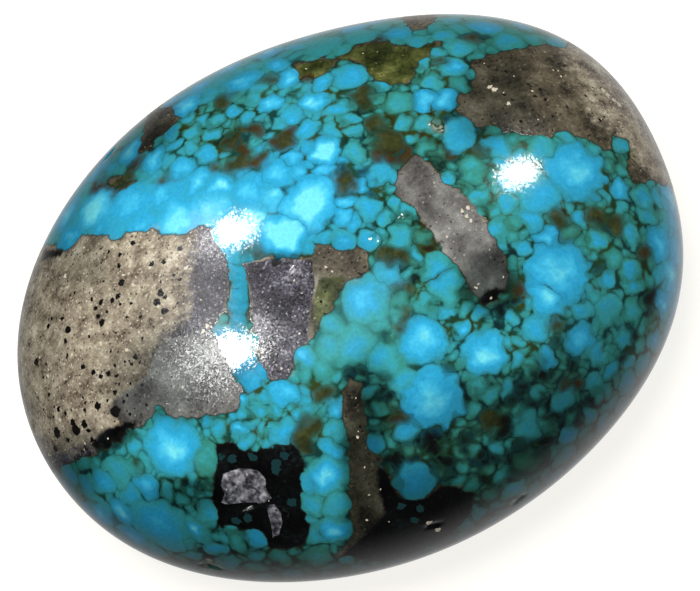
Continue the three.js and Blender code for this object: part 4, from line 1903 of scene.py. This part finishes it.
@dataclass
class Nugget:
    """The whole stone as one piece."""

    form: StoneForm
    view: PhotoView
    # A cube is split into squares by these cuts, one after the other, and rounded. Its
    # points crowd on the upper side, where a place moves to this share of its angle.
    splits: tuple[int, int] = (8, 16)
    crown_share: float = 0.7
    crowding: int = 4
    smooth_angle: float = 28.0
    piece: bpy.types.Object | None = None

    def build(self) -> None:
        """Model the stone's mesh."""
        bpy.ops.object.select_all(action="DESELECT")
        bpy.ops.mesh.primitive_cube_add(size=2.0)
        self.piece = bpy.context.object
        self.piece.name = "polished_nugget"
        bpy.ops.object.mode_set(mode="EDIT")
        bpy.ops.mesh.select_all(action="SELECT")
        for splits in self.splits:
            bpy.ops.mesh.subdivide(number_cuts=splits - 1)
        bpy.ops.object.mode_set(mode="OBJECT")
        mesh = self.piece.data
        cube = np.empty(len(mesh.vertices) * 3)
        mesh.vertices.foreach_get("co", cube)
        ball = self.even_ball(cube.reshape(-1, 3))
        self.form.fit(ball)
        points = self.form.broken(self.form.lapped(self.form.placed(ball)))
        mesh.vertices.foreach_set("co", (points * MM).ravel())
        mesh.update()
        bpy.ops.object.shade_smooth_by_angle(angle=math.radians(self.smooth_angle))

    def even_ball(self, cube: np.ndarray) -> np.ndarray:
        """Round a cube of even squares into a ball whose points crowd on the upper side.

        Args:
            cube: Points of the cube, one a row.

        Returns:
            Points of the unit ball.
        """
        even = np.tan(cube * math.pi / 4)
        ball = even / np.linalg.norm(even, axis=1, keepdims=True)
        polar = np.arccos(np.clip(ball[:, 2], -1, 1))
        share = self.crown_share
        moved = polar * (share + (1 - share) * (polar / math.pi) ** self.crowding)
        out = np.hypot(ball[:, 0], ball[:, 1])
        scale = np.sin(moved) / np.maximum(out, 1e-12)
        return np.stack([ball[:, 0] * scale, ball[:, 1] * scale, np.cos(moved)], 1)

    def dress(self) -> None:
        """Lay the pattern on the stone and give it its material."""
        Pattern(self.view, Chart(self.view)).lay_out(self.piece)
        self.piece.data.materials.append(StoneMaterial().build())

    def declare(self) -> None:
        """Tell the frame what the piece stands for."""
        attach(self.piece, "root")
        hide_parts(NODE)

    def reflected(self, x: float, y: float) -> tuple[Vector, Vector]:
        """Follow the ray through a pixel to the polish and back off it.

        Args:
            x: How far right the pixel is in the picture.
            y: How far down it is.

        Returns:
            The place under the pixel, and the way in which the polish reflects it.
        """
        ray = Vector(self.view.ray(x, y))
        hit, place, normal, _ = self.piece.ray_cast(Vector(self.view.eye()), ray)
        if not hit:
            raise ValueError(f"pixel {x}, {y} misses the stone")
        return place, ray.reflect(normal)


@dataclass(frozen=True)
class Highlight:
    """A lamp's mirror image on the polish, in the photograph's pixels and degrees."""

    name: str
    x: float
    y: float
    long: float
    wide: float
    tilt: float
    brightness: float

    def light(self, nugget: Nugget, studio: Studio) -> None:
        """Hang the lamp whose mirror image this is, and which lights nothing else.

        Args:
            nugget: The stone.
            studio: What the lamp hangs in.
        """
        place, way = nugget.reflected(self.x, self.y)
        apart = self.wide / 4
        steps = [
            nugget.reflected(self.x + x, self.y + y)[1] - way
            for x, y in ((apart, 0), (0, apart))
        ]
        side = (steps[0] - way * steps[0].dot(way)).normalized()
        other = way.cross(side)
        spread = np.array([[step.dot(axis) for step in steps] for axis in (side, other)])
        turn = math.radians(self.tilt)
        shape = np.array([[math.cos(turn), math.sin(turn)], [-math.sin(turn), math.cos(turn)]])
        shape = spread / apart @ shape @ np.diag([self.long, self.wide])
        axes, sizes, _ = np.linalg.svd(shape)
        sizes = sizes * studio.lamp_distance
        power = self.brightness * math.pi * math.pi * sizes[0] * sizes[1] / 4
        lamp = studio.add_lamp(self.name + "_lamp", np.array(place + way * studio.lamp_distance),
                               np.array(place), sizes[0], power, shape="ELLIPSE")
        lamp.data.size_y = sizes[1]
        along = side * axes[0, 0] + other * axes[1, 0]
        turned = Matrix([along, way.cross(along), way]).transposed().to_4x4()
        lamp.matrix_world = Matrix.Translation(lamp.matrix_world.translation) @ turned
        lamp.visible_diffuse = False
        log.info("%s lamp: %.0f by %.0f mm", self.name, sizes[0] / MM, sizes[1] / MM)


HIGHLIGHTS = (
    Highlight("back", 233, 231, 33, 31, 0, 34),
    Highlight("left", 228, 351, 62, 35, 0, 50),
    Highlight("right", 520, 173, 44, 23, 25, 28),
    Highlight("sheen", 201, 298, 170, 60, 100, 2.3),
    Highlight("low sheen", 192, 370, 64, 54, 0, 0.8),
)


def main() -> None:
    """Build the stone and its studio."""
    logging.basicConfig(level=logging.INFO, format="%(name)s: %(message)s")
    low, high = (np.array(c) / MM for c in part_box(NODE))
    view = PhotoView()
    view.make_camera()
    nugget = Nugget(StoneForm(*(high - low)), view)
    nugget.build()
    nugget.dress()
    nugget.declare()
    log.info("stone: %d faces", len(nugget.piece.data.polygons))
    studio = Studio(view)
    studio.build()
    for highlight in HIGHLIGHTS:
        highlight.light(nugget, studio)


if __name__ == "__main__":
    main()
